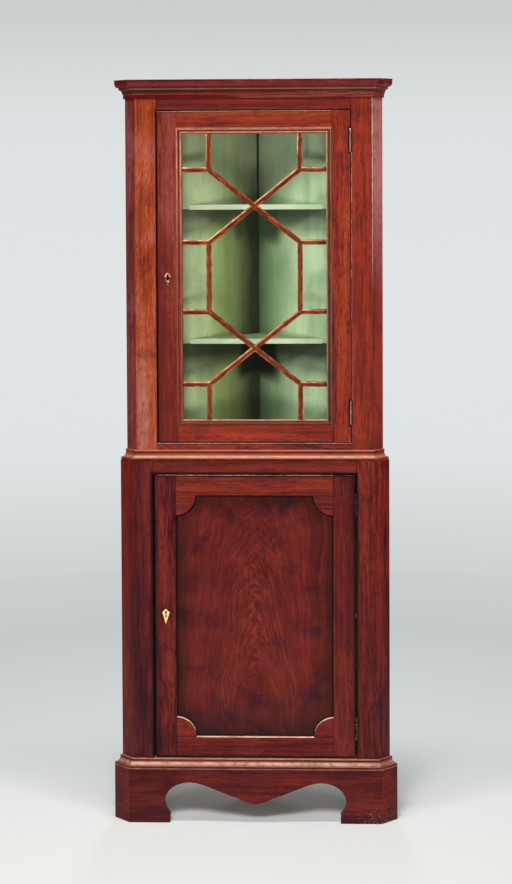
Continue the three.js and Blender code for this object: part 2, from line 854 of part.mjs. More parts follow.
// Thirteen panes as outlines between the middles of the bars, about the middle of the sight opening.
function paneOutlines() {
  const bay = middleBay / 2;
  const rowTop = bay + crossBay;
  const crossing = bay + crossBay / 2;
  const { half, rise } = sight;
  const bar = barColumn;
  const hexagon = [[-bar, -bay], [0, -crossing], [bar, -bay], [bar, bay], [0, crossing], [-bar, bay]];
  const centre = [[-bar, rowTop], [0, crossing], [bar, rowTop], [bar, rise], [-bar, rise]];
  const corner = [[bar, rowTop], [half, rowTop], [half, rise], [bar, rise]];
  const cross = [[bar, bay], [half, bay], [half, rowTop], [bar, rowTop], [0, crossing]];
  const flank = [[bar, -bay], [half, -bay], [half, bay], [bar, bay]];
  const turned = (outline, side, up) => outline.map(([x, z]) => [side * x, up * z]);
  const panes = { pane_middle: hexagon };
  for (const [hand, side] of [['left', -1], ['right', 1]]) {
    panes[`pane_middle_${hand}`] = turned(flank, side, 1);
    for (const [row, up] of [['top', 1], ['bottom', -1]]) {
      panes[`pane_${row}_middle`] = turned(centre, 1, up);
      panes[`pane_${row}_${hand}`] = turned(corner, side, up);
      panes[`pane_${row}_cross_${hand}`] = turned(cross, side, up);
    }
  }
  return panes;
}

// Where two lines cross, each given by its normal and its distance along it.
const crossingOf = (first, second) => {
  const across = first.x * second.z - first.z * second.x;
  const x = (first.at * second.z - second.at * first.z) / across;
  const z = (first.x * second.at - second.x * first.at) / across;
  return [x, z];
};

// An outline drawn in from its bars by one distance and out past the sight edge by another.
function paneWithin(outline, fromBar, pastSight) {
  const turn = Math.sign(THREE.ShapeUtils.area(vectorsOf(outline)));
  const edges = outline.map(([x, z], index) => {
    const [nextX, nextZ] = outline[(index + 1) % outline.length];
    const length = Math.hypot(nextX - x, nextZ - z);
    const normal = { x: (-turn * (nextZ - z)) / length, z: (turn * (nextX - x)) / length };
    const upright = x === nextX && Math.abs(x) === sight.half;
    const level = z === nextZ && Math.abs(z) === sight.rise;
    const onSight = upright || level;
    const at = normal.x * x + normal.z * z + (onSight ? -pastSight : fromBar);
    return { ...normal, at };
  });
  const corners = edges.map((edge, index) => crossingOf(edges.at(index - 1), edge));
  return corners.map(([x, z]) => [sight.x + x, sight.z + z]);
}

// One layer of all the bars at once: a sheet with the panes cut out, and round edges on the bars.
function barLayer(width, front, back, round = 0) {
  const reach = glassRebate + overrun;
  const cuts = Object.values(paneOutlines()).map((outline) => {
    const edge = paneWithin(outline, width / 2 - round, reach);
    return plate(shapeOf(edge), upperDoor.face + front, upperDoor.face + back, round);
  });
  return cutBy(sightBox(glassRebate, front, back), ...cuts);
}

function sightBox(past, front, back) {
  return box(
    sight.x - sight.half - past,
    sight.x + sight.half + past,
    upperDoor.face + front,
    upperDoor.face + back,
    sight.z - sight.rise - past,
    sight.z + sight.rise + past,
  );
}

// Astragal bars: a bead on a flat, and a thin stem between the panes that is let into the door's rebate.
function glazingBars() {
  const bead = barLayer(beadWidth, beadFace, beadRoot, (beadWidth - beadCrown) / 2);
  const flat = barLayer(barWidth, barFace, glassLine);
  const stem = barLayer(stemWidth, glassLine - overrun, barDepth);
  const withinSight = sightBox(-fit, 0, barDepth + overrun);
  const withinRebate = sightBox(glassRebate - fit, glassLine + fit, barDepth + overrun);
  return joined(bead, flat, stem).intersect(withinSight.add(withinRebate));
}

function glassPane(outline) {
  const edge = paneWithin(outline, stemWidth / 2 + fit, glassHold);
  const front = upperDoor.face + glassLine + fit;
  return plate(shapeOf(edge), front, front + glassThickness);
}

// Members of the panelled door.
const panelInner = {
  left: lowerDoor.left + panelLockStile,
  right: lowerDoor.right - panelHingeStile,
  bottom: lowerDoor.bottom + panelRail,
  top: lowerDoor.top - panelRail,
};

function panelBoard(grow) {
  return box(
    panelInner.left - panelHold - grow,
    panelInner.right + panelHold + grow,
    lowerDoor.face + panelRecess - grow,
    lowerDoor.face + panelRecess + panelThickness + grow,
    panelInner.bottom - panelHold - grow,
    panelInner.top + panelHold + grow,
  );
}

const panelRails = [-1, 1].map((up) => ({
  left: panelInner.left + fit,
  right: panelInner.right - fit,
  face: lowerDoor.face,
  bottom: up > 0 ? panelInner.top : lowerDoor.bottom,
  top: up > 0 ? lowerDoor.top : panelInner.bottom,
  up,
}));

// The front of a rail, with a quarter round filling each corner of the panel.
function spandrelOutline({ left, right, bottom, top, up }) {
  const inner = up > 0 ? bottom : top;
  const outer = up > 0 ? top : bottom;
  const arc = Array.from({ length: arcSteps + 1 }, (_, step) => {
    const angle = rightAngle * (1 - step / arcSteps);
    return [spandrelRadius * Math.cos(angle), inner - up * spandrelRadius * Math.sin(angle)];
  });
  const fromLeft = arc.map(([x, z]) => [left + x, z]);
  const fromRight = arc.map(([x, z]) => [right - x, z]).reverse();
  return [[left, outer], ...fromLeft, ...fromRight, [right, outer]];
}

function panelRailSolid(rail) {
  const spandrels = plate(shapeOf(spandrelOutline(rail)), rail.face, rail.face + panelRecess - fit);
  return squareRail(rail).subtract(panelBoard(fit)).add(spandrels);
}

function panelStileSolid(side) {
  const outer = side > 0 ? lowerDoor.right : lowerDoor.left;
  const inner = side > 0 ? panelInner.right : panelInner.left;
  const { face, bottom, top } = lowerDoor;
  const full = box(Math.min(outer, inner), Math.max(outer, inner), face, face + faceBoard, bottom, top);
  return cutBy(full, panelBoard(fit), ...panelRails.map((rail) => tenon(rail, fit)));
}

const cupboard = new THREE.Group();
cupboard.position.set(0, (plinthProjection - wallDepth) / 2, 0);

// A group that turns about a hinge pin, or that slides with its bolt, in the cupboard's own axes.
function pivotGroup(parent, x, y, z) {
  const group = new THREE.Group();
  const [parentX, parentY, parentZ] = parent.userData.origin ?? [0, 0, 0];
  group.userData.origin = [x, y, z];
  group.position.set(x - parentX, y - parentY, z - parentZ);
  parent.add(group);
  return group;
}

function addPiece(parent, name, solid, look) {
  const [x, y, z] = parent.userData.origin ?? [0, 0, 0];
  const geometry = geometryOf(solid);
  geometry.translate(-x, -y, -z);
  const mesh = new THREE.Mesh(geometry, new THREE.MeshStandardMaterial({ ...look, flatShading: true }));
  mesh.name = name;
  parent.add(mesh);
}

function addUpperCase() {
  const [floor, lowShelf, highShelf] = upperBoards;
  addPiece(cupboard, 'upper_left_corner_stile', upperCorner(-1), mahogany);
  addPiece(cupboard, 'upper_right_corner_stile', upperCorner(1), mahogany);
  addPiece(cupboard, 'frieze_rail', squareRail(frieze), mahogany);
  addPiece(cupboard, 'upper_bottom_rail', squareRail(bottomRail), mahogany);
  addPiece(cupboard, 'upper_bottom_board', board(floor), paintedPine);
  addPiece(cupboard, 'upper_low_shelf', board(lowShelf), paintedPine);
  addPiece(cupboard, 'upper_high_shelf', board(highShelf), paintedPine);
  addPiece(cupboard, 'upper_top_board', coverBoard(upperTop + fit, upperTop + fit + upperTopBoard), barePine);
  addPiece(cupboard, 'upper_left_back', backPlanks(upper, -1, upperFoot, upperTop, upperBoards), paintedPine);
  addPiece(cupboard, 'upper_right_back', backPlanks(upper, 1, upperFoot, upperTop, upperBoards), paintedPine);
  addPiece(cupboard, 'cornice', cornice(), mahogany);
}

function addLowerCase() {
  addPiece(cupboard, 'lower_left_corner_stile', lowerCorner(-1), darkMahogany);
  addPiece(cupboard, 'lower_right_corner_stile', lowerCorner(1), darkMahogany);
  addPiece(cupboard, 'lower_top_rail', squareRail(lowerRail), darkMahogany);
  addPiece(cupboard, 'lower_top_board', coverBoard(tableBottom, tableTop), barePine);
  addPiece(cupboard, 'lower_bottom_board', lowerFloor(), barePine);
  addPiece(cupboard, 'lower_shelf', board(lowerBoards[1]), barePine);
  addPiece(cupboard, 'lower_left_back', backPlanks(lower, -1, postFoot, lowerCaseTop, lowerBoards), barePine);
  addPiece(cupboard, 'lower_right_back', backPlanks(lower, 1, postFoot, lowerCaseTop, lowerBoards), barePine);
  addPiece(cupboard, 'waist_moulding', waistMoulding(), mahogany);
  addPiece(cupboard, 'base_moulding', baseMoulding(), mahogany);
  addPiece(cupboard, 'plinth', plinth(), darkMahogany);
  addPiece(cupboard, 'rear_foot', rearFoot(), barePine);
}

// The hinges and the lock of one door, with the bolt in a group that slides.
function addHardware(group, prefix, door, escutcheonLook) {
  for (const [index, place] of ['top', 'bottom'].entries()) {
    const middle = hingeHeights(door)[index];
    addPiece(cupboard, `${prefix}_${place}_hinge_case_leaf`, caseLeaf(door, middle), wornBrass);
    addPiece(group, `${prefix}_${place}_hinge_door_leaf`, doorLeaf(door, middle), wornBrass);
  }
  addPiece(group, `${prefix}_lock_case`, lockCase(door), ironGrey);
  addPiece(group, `${prefix}_escutcheon`, escutcheon(door), escutcheonLook);
  const bolt = pivotGroup(group, door.left, door.face, door.bottom + door.keyRise);
  addPiece(bolt, `${prefix}_lock_bolt`, boltBar(door, 0, 0), wornBrass);
}

function addGlazedDoor() {
  const group = pivotGroup(cupboard, ...hingePin(upperDoor), upperDoor.bottom);
  const [bottom, top] = sashRails;
  const lockStile = cutBy(sashStileSolid(-1), ...lockCuts(upperDoor));
  const hingeStile = cutBy(sashStileSolid(1), ...hingeRecesses(upperDoor, -1));
  addPiece(group, 'upper_door_lock_stile', lockStile, mahogany);
  addPiece(group, 'upper_door_hinge_stile', hingeStile, mahogany);
  addPiece(group, 'upper_door_bottom_rail', sashRailSolid(bottom), mahogany);
  addPiece(group, 'upper_door_top_rail', sashRailSolid(top), mahogany);
  addPiece(group, 'glazing_bars', glazingBars(), mahogany);
  for (const [name, outline] of Object.entries(paneOutlines())) {
    addPiece(group, name, glassPane(outline), windowGlass);
  }
  addHardware(group, 'upper', upperDoor, wornBrass);
}

function addPanelledDoor() {
  const group = pivotGroup(cupboard, ...hingePin(lowerDoor), lowerDoor.bottom);
  const [bottom, top] = panelRails;
  const lockStile = cutBy(panelStileSolid(-1), ...lockCuts(lowerDoor));
  const hingeStile = cutBy(panelStileSolid(1), ...hingeRecesses(lowerDoor, -1));
  addPiece(group, 'lower_door_lock_stile', lockStile, darkMahogany);
  addPiece(group, 'lower_door_hinge_stile', hingeStile, darkMahogany);
  addPiece(group, 'lower_door_bottom_rail', panelRailSolid(bottom), darkMahogany);
  addPiece(group, 'lower_door_top_rail', panelRailSolid(top), darkMahogany);
  addPiece(group, 'lower_door_panel', panelBoard(0), darkMahogany);
  addHardware(group, 'lower', lowerDoor, bone);
}

addUpperCase();
addLowerCase();
addGlazedDoor();
addPanelledDoor();

export default cupboard;
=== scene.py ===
import json
import math
from functools import partial
import bpy
import bmesh
from mathutils import Matrix, Vector
from mathutils.bvhtree import BVHTree

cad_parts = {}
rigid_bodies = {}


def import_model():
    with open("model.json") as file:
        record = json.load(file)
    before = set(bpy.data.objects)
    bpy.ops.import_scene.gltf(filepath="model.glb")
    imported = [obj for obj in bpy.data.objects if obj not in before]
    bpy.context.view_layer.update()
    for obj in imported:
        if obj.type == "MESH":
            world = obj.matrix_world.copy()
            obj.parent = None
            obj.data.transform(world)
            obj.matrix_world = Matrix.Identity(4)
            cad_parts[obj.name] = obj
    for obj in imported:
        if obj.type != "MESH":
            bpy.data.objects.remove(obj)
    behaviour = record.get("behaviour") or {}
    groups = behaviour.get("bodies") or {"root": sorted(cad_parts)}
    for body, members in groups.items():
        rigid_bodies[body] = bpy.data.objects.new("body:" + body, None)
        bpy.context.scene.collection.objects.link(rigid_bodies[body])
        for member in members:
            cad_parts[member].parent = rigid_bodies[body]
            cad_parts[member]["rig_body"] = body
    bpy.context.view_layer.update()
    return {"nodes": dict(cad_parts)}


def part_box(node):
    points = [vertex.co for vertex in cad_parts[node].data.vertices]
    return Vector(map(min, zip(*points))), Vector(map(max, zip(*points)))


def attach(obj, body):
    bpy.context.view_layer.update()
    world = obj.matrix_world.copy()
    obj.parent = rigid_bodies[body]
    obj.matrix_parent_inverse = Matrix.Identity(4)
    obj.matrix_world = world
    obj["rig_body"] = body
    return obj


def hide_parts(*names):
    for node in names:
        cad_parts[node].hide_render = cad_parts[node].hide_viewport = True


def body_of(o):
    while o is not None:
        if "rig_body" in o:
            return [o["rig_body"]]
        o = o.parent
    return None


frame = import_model()
nodes = frame["nodes"]
print("frame loaded:", len(nodes), "nodes")


def linear(hexColour):
    # sRGB hex to the linear colour that a shader takes
    channels = [int(hexColour[i:i + 2], 16) / 255 for i in (0, 2, 4)]
    return tuple(c / 12.92 if c <= 0.04045 else ((c + 0.055) / 1.055) ** 2.4 for c in channels) + (1.0,)


def addNode(tree, kind, given=None):
    # given holds settings and links by socket or property. A node stands for its first live output,
    # "stops" fills a colour ramp, and "noise" is a pattern's scale, detail, roughness and distortion
    node = tree.nodes.new("ShaderNode" + kind)
    for key, value in (given or {}).items():
        if isinstance(value, bpy.types.Node):
            value = next(output for output in value.outputs if output.enabled)
        if isinstance(value, bpy.types.NodeSocket):
            tree.links.new(value, node.inputs[key])
        elif key == "stops":
            ramp = node.color_ramp.elements
            while len(ramp) < len(value):
                ramp.new(0.5)
            for element, (place, colour) in zip(ramp, value):
                element.position = place
                element.color = linear(colour)
        elif key == "noise":
            for socket, number in zip(("Scale", "Detail", "Roughness", "Distortion"), value):
                node.inputs[socket].default_value = number
        elif isinstance(key, int) or key in node.inputs:
            node.inputs[key].default_value = value
        else:
            setattr(node, key, value)
    return node


def newMaterial(name):
    # an empty material, addNode for its tree, and the object's own coordinates
    material = bpy.data.materials.new(name)
    material.use_nodes = True
    material.node_tree.nodes.clear()
    add = partial(addNode, material.node_tree)
    return material, add, add("TexCoord").outputs["Object"]


smooth = (0.0, "SMOOTHSTEP")  # ends a mask that starts and stops softly


def joined(add, operation, masks):
    # several masks as one: MULTIPLY keeps what lies in all of them, MAXIMUM what lies in any. A mask is an
    # output, or (value, start, end, amount, least, curve): least where the value is at start, amount where
    # it is at end
    whole = None
    for mask in masks:
        if isinstance(mask, tuple):
            value, start, end, amount, least, curve = mask + (0.0, "LINEAR")[len(mask) - 4:]
            mask = add("MapRange", {"Value": value, "From Min": start, "From Max": end, "To Min": least,
                                    "To Max": amount, "interpolation_type": curve})
        whole = mask if whole is None else add("Math", {"operation": operation, 0: whole, 1: mask})
    return whole


def stain(add, colour, tint, *masks):
    # a tint over a colour, where all the masks are
    share = joined(add, "MULTIPLY", masks)
    return add("Mix", {"data_type": "RGBA", 0: share, 6: colour, 7: linear(tint)})


def fromLine(add, value, line):
    # how far a value is from a line, on either side
    off = add("Math", {"operation": "SUBTRACT", 0: value, 1: line})
    return add("Math", {"operation": "ABSOLUTE", 0: off})


def pastSides(add, axes, shape):
    # metres past the sides and past the ends of a rectangle on the front, less than nothing between them
    return [add("Math", {"operation": "SUBTRACT", 0: fromLine(add, axes[axis], middle), 1: half})
            for axis, middle, half in zip("XZ", shape["middle"], shape["half"])]


def wavered(add, place, base, noise, amount):
    # base, swayed by a slow noise in place, within amount metres from end to end
    wander = add("TexNoise", {"Vector": place, "noise": noise})
    centred = add("VectorMath", {"operation": "SUBTRACT", 0: wander.outputs["Color"], 1: (0.5, 0.5, 0.5)})
    drift = add("VectorMath", {"operation": "SCALE", 0: centred, "Scale": amount})
    return add("VectorMath", {"operation": "ADD", 0: base, 1: drift})


def finish(add, skin, relief=None):
    # closes a material; relief is (height, strength, depth in metres)
    if relief:
        height, strength, depth = relief
        bump = add("Bump", {"Height": height, "Strength": strength, "Distance": depth})
        skin = {**skin, "Normal": bump}
    add("OutputMaterial", {"Surface": add("BsdfPrincipled", skin)})


def speckled(name, look, colours, **changes):
    # a finish of three colours over one noise, which may also turn its gloss and lift its skin. A mark is
    # a tint, by the distance from a point or from a line across one axis
    look = {**look, **changes}
    material, add, place = newMaterial(name)
    stretched = add("VectorMath", {"operation": "MULTIPLY", 0: place, 1: look.get("stretch", (1, 1, 1))})
    noise = add("TexNoise", {"Vector": stretched, "noise": look["noise"]})
    tone = noise
    if "blotches" in look:
        share, blotches = look["blotches"]
        blotches = add("TexNoise", {"Vector": place, "noise": blotches})
        tone = add("Mix", {"Factor": share, "A": noise, "B": blotches})
    colour = add("ValToRGB", {"Fac": tone, "stops": list(zip(look["places"], colours))})
    if "mark" in look:
        near, tint, mask = look["mark"]
        if len(near) == 3:
            off = add("VectorMath", {"operation": "DISTANCE", 0: place, 1: near})
        else:
            off = fromLine(add, add("SeparateXYZ", {0: place}).outputs[near[0]], near[1])
        colour = stain(add, colour, tint, (off, *mask))
    skin = {**look["skin"], "Base Color": colour}
    if "gloss" in look:
        skin["Roughness"] = joined(add, "MULTIPLY", [(noise, *look["gloss"])])
    finish(add, skin, (noise, *look["relief"]) if "relief" in look else None)
    return material


def dress(names, material):
    for name in names:
        slots = nodes[name].data.materials
        slots.clear()
        slots.append(material)


# Timber. A noise is (scale, detail, roughness), its scale in features per metre: 1000 / size in mm. A mask
# is (start, end, amount) of a noise, or of metres from a line.
timber = {
    "wander": (3.5, 2.0),  # the grain drifts over about 290 mm
    "drift": 0.02,  # within 20 mm from end to end
    "broad": (15, 3.0, 0.55),  # ribbons of colour about 65 mm wide
    "stripe": (125, 3.0, 0.6),  # ribbon stripe about 8 mm wide
    "fibre": (430, 2.0, 0.7),  # real pores are 0.2 mm wide; drawn at 2.3 mm so that they show
    "pore": (330, 2.0, 0.6),  # dark flecks of wax in the pores, drawn 3 mm wide
    "cloud": (10, 5.0, 0.62),  # stained and sun-faded patches of about 100 mm
    "patch": (45, 3.0, 0.6),  # the painted highlight lines come and go, patchy as wear, over about 20 mm
    "splash": (220, 3.0, 0.7),  # specks of limewash of 4.5 mm
    "stretch": 0.055, "poreStretch": 0.16,  # grain is 18 times as long as it is wide, a pore six times
    "fine": 0.4, "streak": 0.5,  # how much is fibre rather than stripe, and fine rather than broad
    "places": (0.37, 0.5, 0.62),  # of the deep, body and warm colour in the noise
    "clouded": (0.54, 0.7, 0.5), "sheenMask": (0.47, 0.3), "waxed": (0.5, 0.68, 0.55),
    "splashed": (0.58, 0.68, 0.5), "wornAndLit": (0.36, 0.58, 1.0),
    "dentCell": 34, "dented": 0.12,  # one dent or filled nail hole to 30 mm at most, and few of those
    "dentRim": (0.13, 0.05, 0.85),
    "mitreLine": (0.0013, 0.0004, 0.6), "seamLine": (0.0018, 0.0008, 0.55),
    "jointLine": (0.0024, 0.0012, 0.5), "knuckleShadeReach": (0.009, 0.006, 0.85), "greasy": (0.03, 0.013, 0.75),
    "turned": 0.001, "cantLight": 0.5,  # painted highlights are half as bright from 1 mm past the mitre
    "gapShade": (0.96, "16090b"),
    "glossNoise": (0.35, 0.65, 0.44, 0.3), "ripple": 0.3, "relief": (0.5, 0.0003),
    "skin": {"IOR": 1.5, "Specular IOR Level": 0.15},
    # the pink-violet tint paints a sheen, and the cream one a highlight along a cant's mitre
    "sheenTint": "8a5355", "dentAndShade": "16090b", "bare": "f0cdb8", "grease": "38100a", "limewash": "cdb98f",
}
# Lines that follow a rectangle on the front, measured out from it in metres: painted highlights and shade
# on the beads and quirks round the glass, and painted shade in the gap round each door. Each place on the
# way out has a grey, an sRGB hex pair: how much shows there.
sashOutline = {"middle": (0.00225, 1.47715), "half": (0.19455, 0.38745), "reach": (0.0, 0.0185),
               "least": 0.55}
# painted highlights and shade: above and to the left the beads catch the light; below and to the right only
# the innermost edge does
litSash = {
    **sashOutline, "wearAndHighlight": "bd8466", "paintedShade": "2c0d0a",
    "pale": [(0.0, "00"), (0.12, "40"), (0.22, "b8"), (0.33, "c8"), (0.4, "10"), (0.66, "10"),
             (0.72, "80"), (0.79, "d8"), (0.86, "60"), (0.94, "00")],
    "dark": [(0.0, "80"), (0.12, "40"), (0.2, "00"), (0.38, "00"), (0.45, "d8"), (0.56, "c0"),
             (0.66, "20"), (0.72, "00"), (1.0, "00")],
    "fade": (1.5, 1.78, 1.0, 0.22),
}
shadedSash = {
    **sashOutline, "wearAndHighlight": "b98e62", "paintedShade": "2c0d0a",
    "pale": [(0.0, "f0"), (0.09, "c8"), (0.16, "20"), (0.5, "00"), (0.6, "20"), (0.66, "30"), (0.72, "00"),
             (1.0, "00")],
    "dark": [(0.0, "00"), (0.16, "10"), (0.32, "a0"), (0.46, "70"), (0.55, "10"), (0.66, "10"),
             (0.74, "c0"), (0.88, "50"), (1.0, "00")],
}
# beside the hinges both beads take painted highlights at the top
hingeSash = {
    **shadedSash, "fade": (1.66, 1.84, 1.0, 0.6),
    "pale": [(0.0, "ff"), (0.1, "f0"), (0.17, "30"), (0.5, "00"), (0.6, "20"), (0.68, "b8"), (0.76, "20"),
             (1.0, "00")],
}
doorGaps = {
    "upper": {"middle": (0.0003, 1.4771), "half": (0.2625, 0.44995), "reach": (0.0014, 0.005)},
    "lower": {"middle": (-0.0005, 0.5571), "half": (0.2746, 0.3871), "reach": (0.0036, 0.0092)},
}


def highlightAndShadeLines(add, colour, moved, axes, sideways, relief):
    # painted highlights along the crowns of beads and noses, patchy as wear, and painted shade in the quirks
    # between them
    value = joined(add, "MAXIMUM", pastSides(add, axes, relief)) if "middle" in relief else axes["Z"]
    across = joined(add, "MULTIPLY", [(value, *relief["reach"], 1.0)])
    patchy = add("TexNoise", {"Vector": moved, "noise": timber["patch"]})
    wearAndLight = [(patchy, *timber["wornAndLit"], relief["least"])]
    if "fade" in relief:
        # the painted highlight lines are brightest near the top, nearest the light
        wearAndLight.append((axes["Z"], *relief["fade"]))
    if "cant" in relief:
        wearAndLight.append((sideways, relief["cant"] + timber["turned"], relief["cant"], 1.0, timber["cantLight"]))
    wearAndLight = joined(add, "MULTIPLY", wearAndLight)
    for which, tint in (("pale", relief["wearAndHighlight"]), ("dark", relief["paintedShade"])):
        line = add("ValToRGB", {"Fac": across, "stops": [(at, grey * 3) for at, grey in relief[which]]})
        # the ramp's greys are sRGB, so the root gives back the share that they spell
        level = add("Math", {"operation": "POWER", 0: line, 1: 1 / 2.2})
        colour = stain(add, colour, tint, level, wearAndLight)
    return colour


def polishedMahogany(nodeName, board):
    # Cuban mahogany, planed by hand, stained and French polished, then waxed for two centuries: deep red
    # ribbons with warm orange streaks, a soft satin gloss, and here and there a painted violet sheen, a dark
    # cloud or an old dent
    material, add, place = newMaterial("polishedMahogany_" + nodeName)
    axes = add("SeparateXYZ", {0: place}).outputs
    sideways = add("Math", {"operation": "ABSOLUTE", 0: axes["X"]})
    moved = add("VectorMath", {"operation": "ADD", 0: place, 1: board["shift"]})
    along, fleck = [add("VectorMath", {"operation": "MULTIPLY", 0: moved,
                                       1: (share, 1, 1) if board["grain"] == "x" else (1, 1, share)})
                    for share in (timber["stretch"], timber["poreStretch"])]
    wavy = wavered(add, moved, along, timber["wander"], timber["drift"])
    broad, stripe, fibre, cloud, pores = [
        add("TexNoise", {"Vector": vector, "noise": timber[layer]})
        for vector, layer in ((wavy, "broad"), (wavy, "stripe"), (wavy, "fibre"), (moved, "cloud"),
                              (fleck, "pore"))]
    fine = add("Mix", {"Factor": timber["fine"], "A": stripe, "B": fibre})
    tone = add("Mix", {"Factor": board.get("streak", timber["streak"]), "A": broad, "B": fine})
    deep = board["wood"][0]
    colour = add("ValToRGB", {"Fac": tone, "stops": list(zip(timber["places"], board["wood"]))})
    if "cant" in board:
        # beyond the mitre the canted part is tinted and brightened: painted light and sheen on the cant
        mitre, tint, gain = board["cant"]
        beyond = add("Math", {"operation": "GREATER_THAN", 0: sideways, 1: mitre})
        colour = add("Mix", {"data_type": "RGBA", "blend_type": "MULTIPLY", 0: beyond, 6: colour,
                             7: [channel * gain for channel in linear(tint)]})
    if "bloom" in board:
        # high up on the cant a painted sheen, and a painted highlight along the mitre beside it
        low, high, share, tint = board["bloom"]
        colour = stain(add, colour, tint, (axes["Z"], low, high, share), beyond)
        beside = fromLine(add, sideways, mitre)
        colour = stain(add, colour, timber["bare"], (beside, *timber["mitreLine"]),
                       (axes["Z"], low, high, 1.0))
    colour = stain(add, colour, deep, (cloud, *timber["clouded"]))
    # a painted sheen: pink-violet where the polish would mirror the pale studio
    if "paintedSheen" in board:
        colour = stain(add, colour, timber["sheenTint"], (cloud, *timber["sheenMask"], board["paintedSheen"]))
    # pores along the grain, and a few dents of 3 to 7 mm
    colour = stain(add, colour, deep, (pores, *timber["waxed"]))
    spots = add("TexVoronoi", {"Vector": moved, "Scale": timber["dentCell"]})
    chosen = add("SeparateColor", {"Color": spots.outputs["Color"]})
    few = add("Math", {"operation": "LESS_THAN", 0: chosen, 1: timber["dented"]})
    colour = stain(add, colour, timber["dentAndShade"], few, (spots, *timber["dentRim"]))
    if "relief" in board:
        colour = highlightAndShadeLines(add, colour, moved, axes, sideways, board["relief"])
    if "seam" in board:
        # the spandrels are glued-on blocks: a dark seam runs level with their edge, drawn 2.6 mm wide
        edge, clear = board["seam"]
        past = add("Math", {"operation": "GREATER_THAN", 0: sideways, 1: clear})
        off = fromLine(add, axes["Z"], edge)
        colour = stain(add, colour, timber["dentAndShade"], (off, *timber["seamLine"]), past)
    if "joints" in board:
        # dark glue lines where the rail's shoulders meet the stiles
        left, right = board["joints"]
        off = fromLine(add, fromLine(add, axes["X"], (left + right) / 2), (right - left) / 2)
        colour = stain(add, colour, timber["dentAndShade"], (off, *timber["jointLine"]))
    if "gap" in board:
        # painted shade in the gap round the door: the edges beside it are painted black
        gap = doorGaps[board["gap"]]
        share, tint = board.get("gapShade", timber["gapShade"])
        off = fromLine(add, joined(add, "MAXIMUM", pastSides(add, axes, gap)), 0.0)
        colour = stain(add, colour, tint, (off, gap["reach"][1], gap["reach"][0], share))
    if "knuckles" in board:
        # painted shade, black in the recess beside each hinge knuckle
        line, middles, half = board["knuckles"]
        off = fromLine(add, axes["X"], line)
        for middle in middles:
            level = add("Math", {"operation": "LESS_THAN", 0: fromLine(add, axes["Z"], middle), 1: half})
            colour = stain(add, colour, timber["dentAndShade"], (off, *timber["knuckleShadeReach"]), level)
    if "handGrime" in board:
        # fingers have left a dark greasy patch round the key plate
        off = add("VectorMath", {"operation": "DISTANCE", 0: place, 1: board["handGrime"]})
        colour = stain(add, colour, timber["grease"], (off, *timber["greasy"]))
    if "scuffs" in board:
        # old splashes of limewash on one foot, knocked half off again
        side, fullSide, top = board["scuffs"]
        splash = add("TexNoise", {"Vector": moved, "noise": timber["splash"]})
        colour = stain(add, colour, timber["limewash"], (splash, *timber["splashed"]),
                       (axes["Z"], top, 0.0, 1.0), (axes["X"], side, fullSide, 1.0))
    rough = joined(add, "MULTIPLY", [(cloud, *timber["glossNoise"])])
    ripple = add("Mix", {"Factor": timber["ripple"], "A": cloud, "B": fine})
    finish(add, {**timber["skin"], "Base Color": colour, "Roughness": rough}, (ripple, *timber["relief"]))
    return material


# Painted highlights and shade in lines that follow the height of a moulding, from its foot (0) to its top (1)
waistRelief = {
    "reach": (0.9806, 1.0079), "cant": 0.327, "least": 0.7, "wearAndHighlight": "d8a88f", "paintedShade": "380f08",
    "pale": [(0.0, "00"), (0.18, "00"), (0.21, "10"), (0.265, "30"), (0.31, "80"), (0.38, "98"),
             (0.44, "38"), (0.6, "00"), (0.9, "00"), (1.0, "58")],
    "dark": [(0.0, "ff"), (0.18, "f0"), (0.21, "00"), (0.42, "00"), (0.5, "50"), (0.7, "30"), (0.8, "90"),
             (0.86, "10"), (0.9, "00"), (1.0, "00")],
}
baseRelief = {
    "reach": (0.1488, 0.1688), "cant": 0.338, "least": 0.45, "wearAndHighlight": "c79a86", "paintedShade": "3a0f08",
    "pale": [(0.0, "00"), (0.22, "00"), (0.25, "88"), (0.3, "80"), (0.42, "e0"), (0.6, "60"), (0.72, "00"),
             (0.95, "00"), (1.0, "a8")],
    "dark": [(0.0, "f8"), (0.21, "f8"), (0.25, "00"), (0.6, "00"), (0.72, "80"), (0.84, "60"), (0.9, "90"),
             (0.96, "00"), (1.0, "00")],
}
plinthRelief = {
    "reach": (0.1435, 0.1485), "least": 0.5, "wearAndHighlight": "ad7564", "paintedShade": "3a0f08",
    "pale": [(0.0, "00"), (0.4, "00"), (0.6, "70"), (1.0, "88")], "dark": [(0.0, "00"), (1.0, "00")],
}
corniceRelief = {
    "reach": (1.96, 2.01), "cant": 0.34, "least": 0.6, "wearAndHighlight": "b07a68", "paintedShade": "260c0d",
    "pale": [(0.0, "00"), (0.2, "00"), (0.24, "40"), (0.28, "00"), (0.45, "08"), (0.51, "80"),
             (0.56, "28"), (0.62, "10"), (0.9, "00"), (0.985, "00"), (1.0, "a0")],
    "dark": [(0.0, "50"), (0.1, "00"), (0.24, "00"), (0.32, "50"), (0.4, "a0"), (0.45, "40"), (0.5, "00"),
             (0.56, "50"), (0.6, "00"), (0.95, "00"), (1.0, "00")],
}

leafBoxes = [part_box(name) for name in nodes if name.startswith("upper_") and name.endswith("hinge_case_leaf")]
# half a millimetre left of the knuckles' middle
knuckleLine = min(low[0] for low, high in leafBoxes) + 0.0035
upperKnuckles = (knuckleLine, [(low[2] + high[2]) / 2 for low, high in leafBoxes], 0.037)
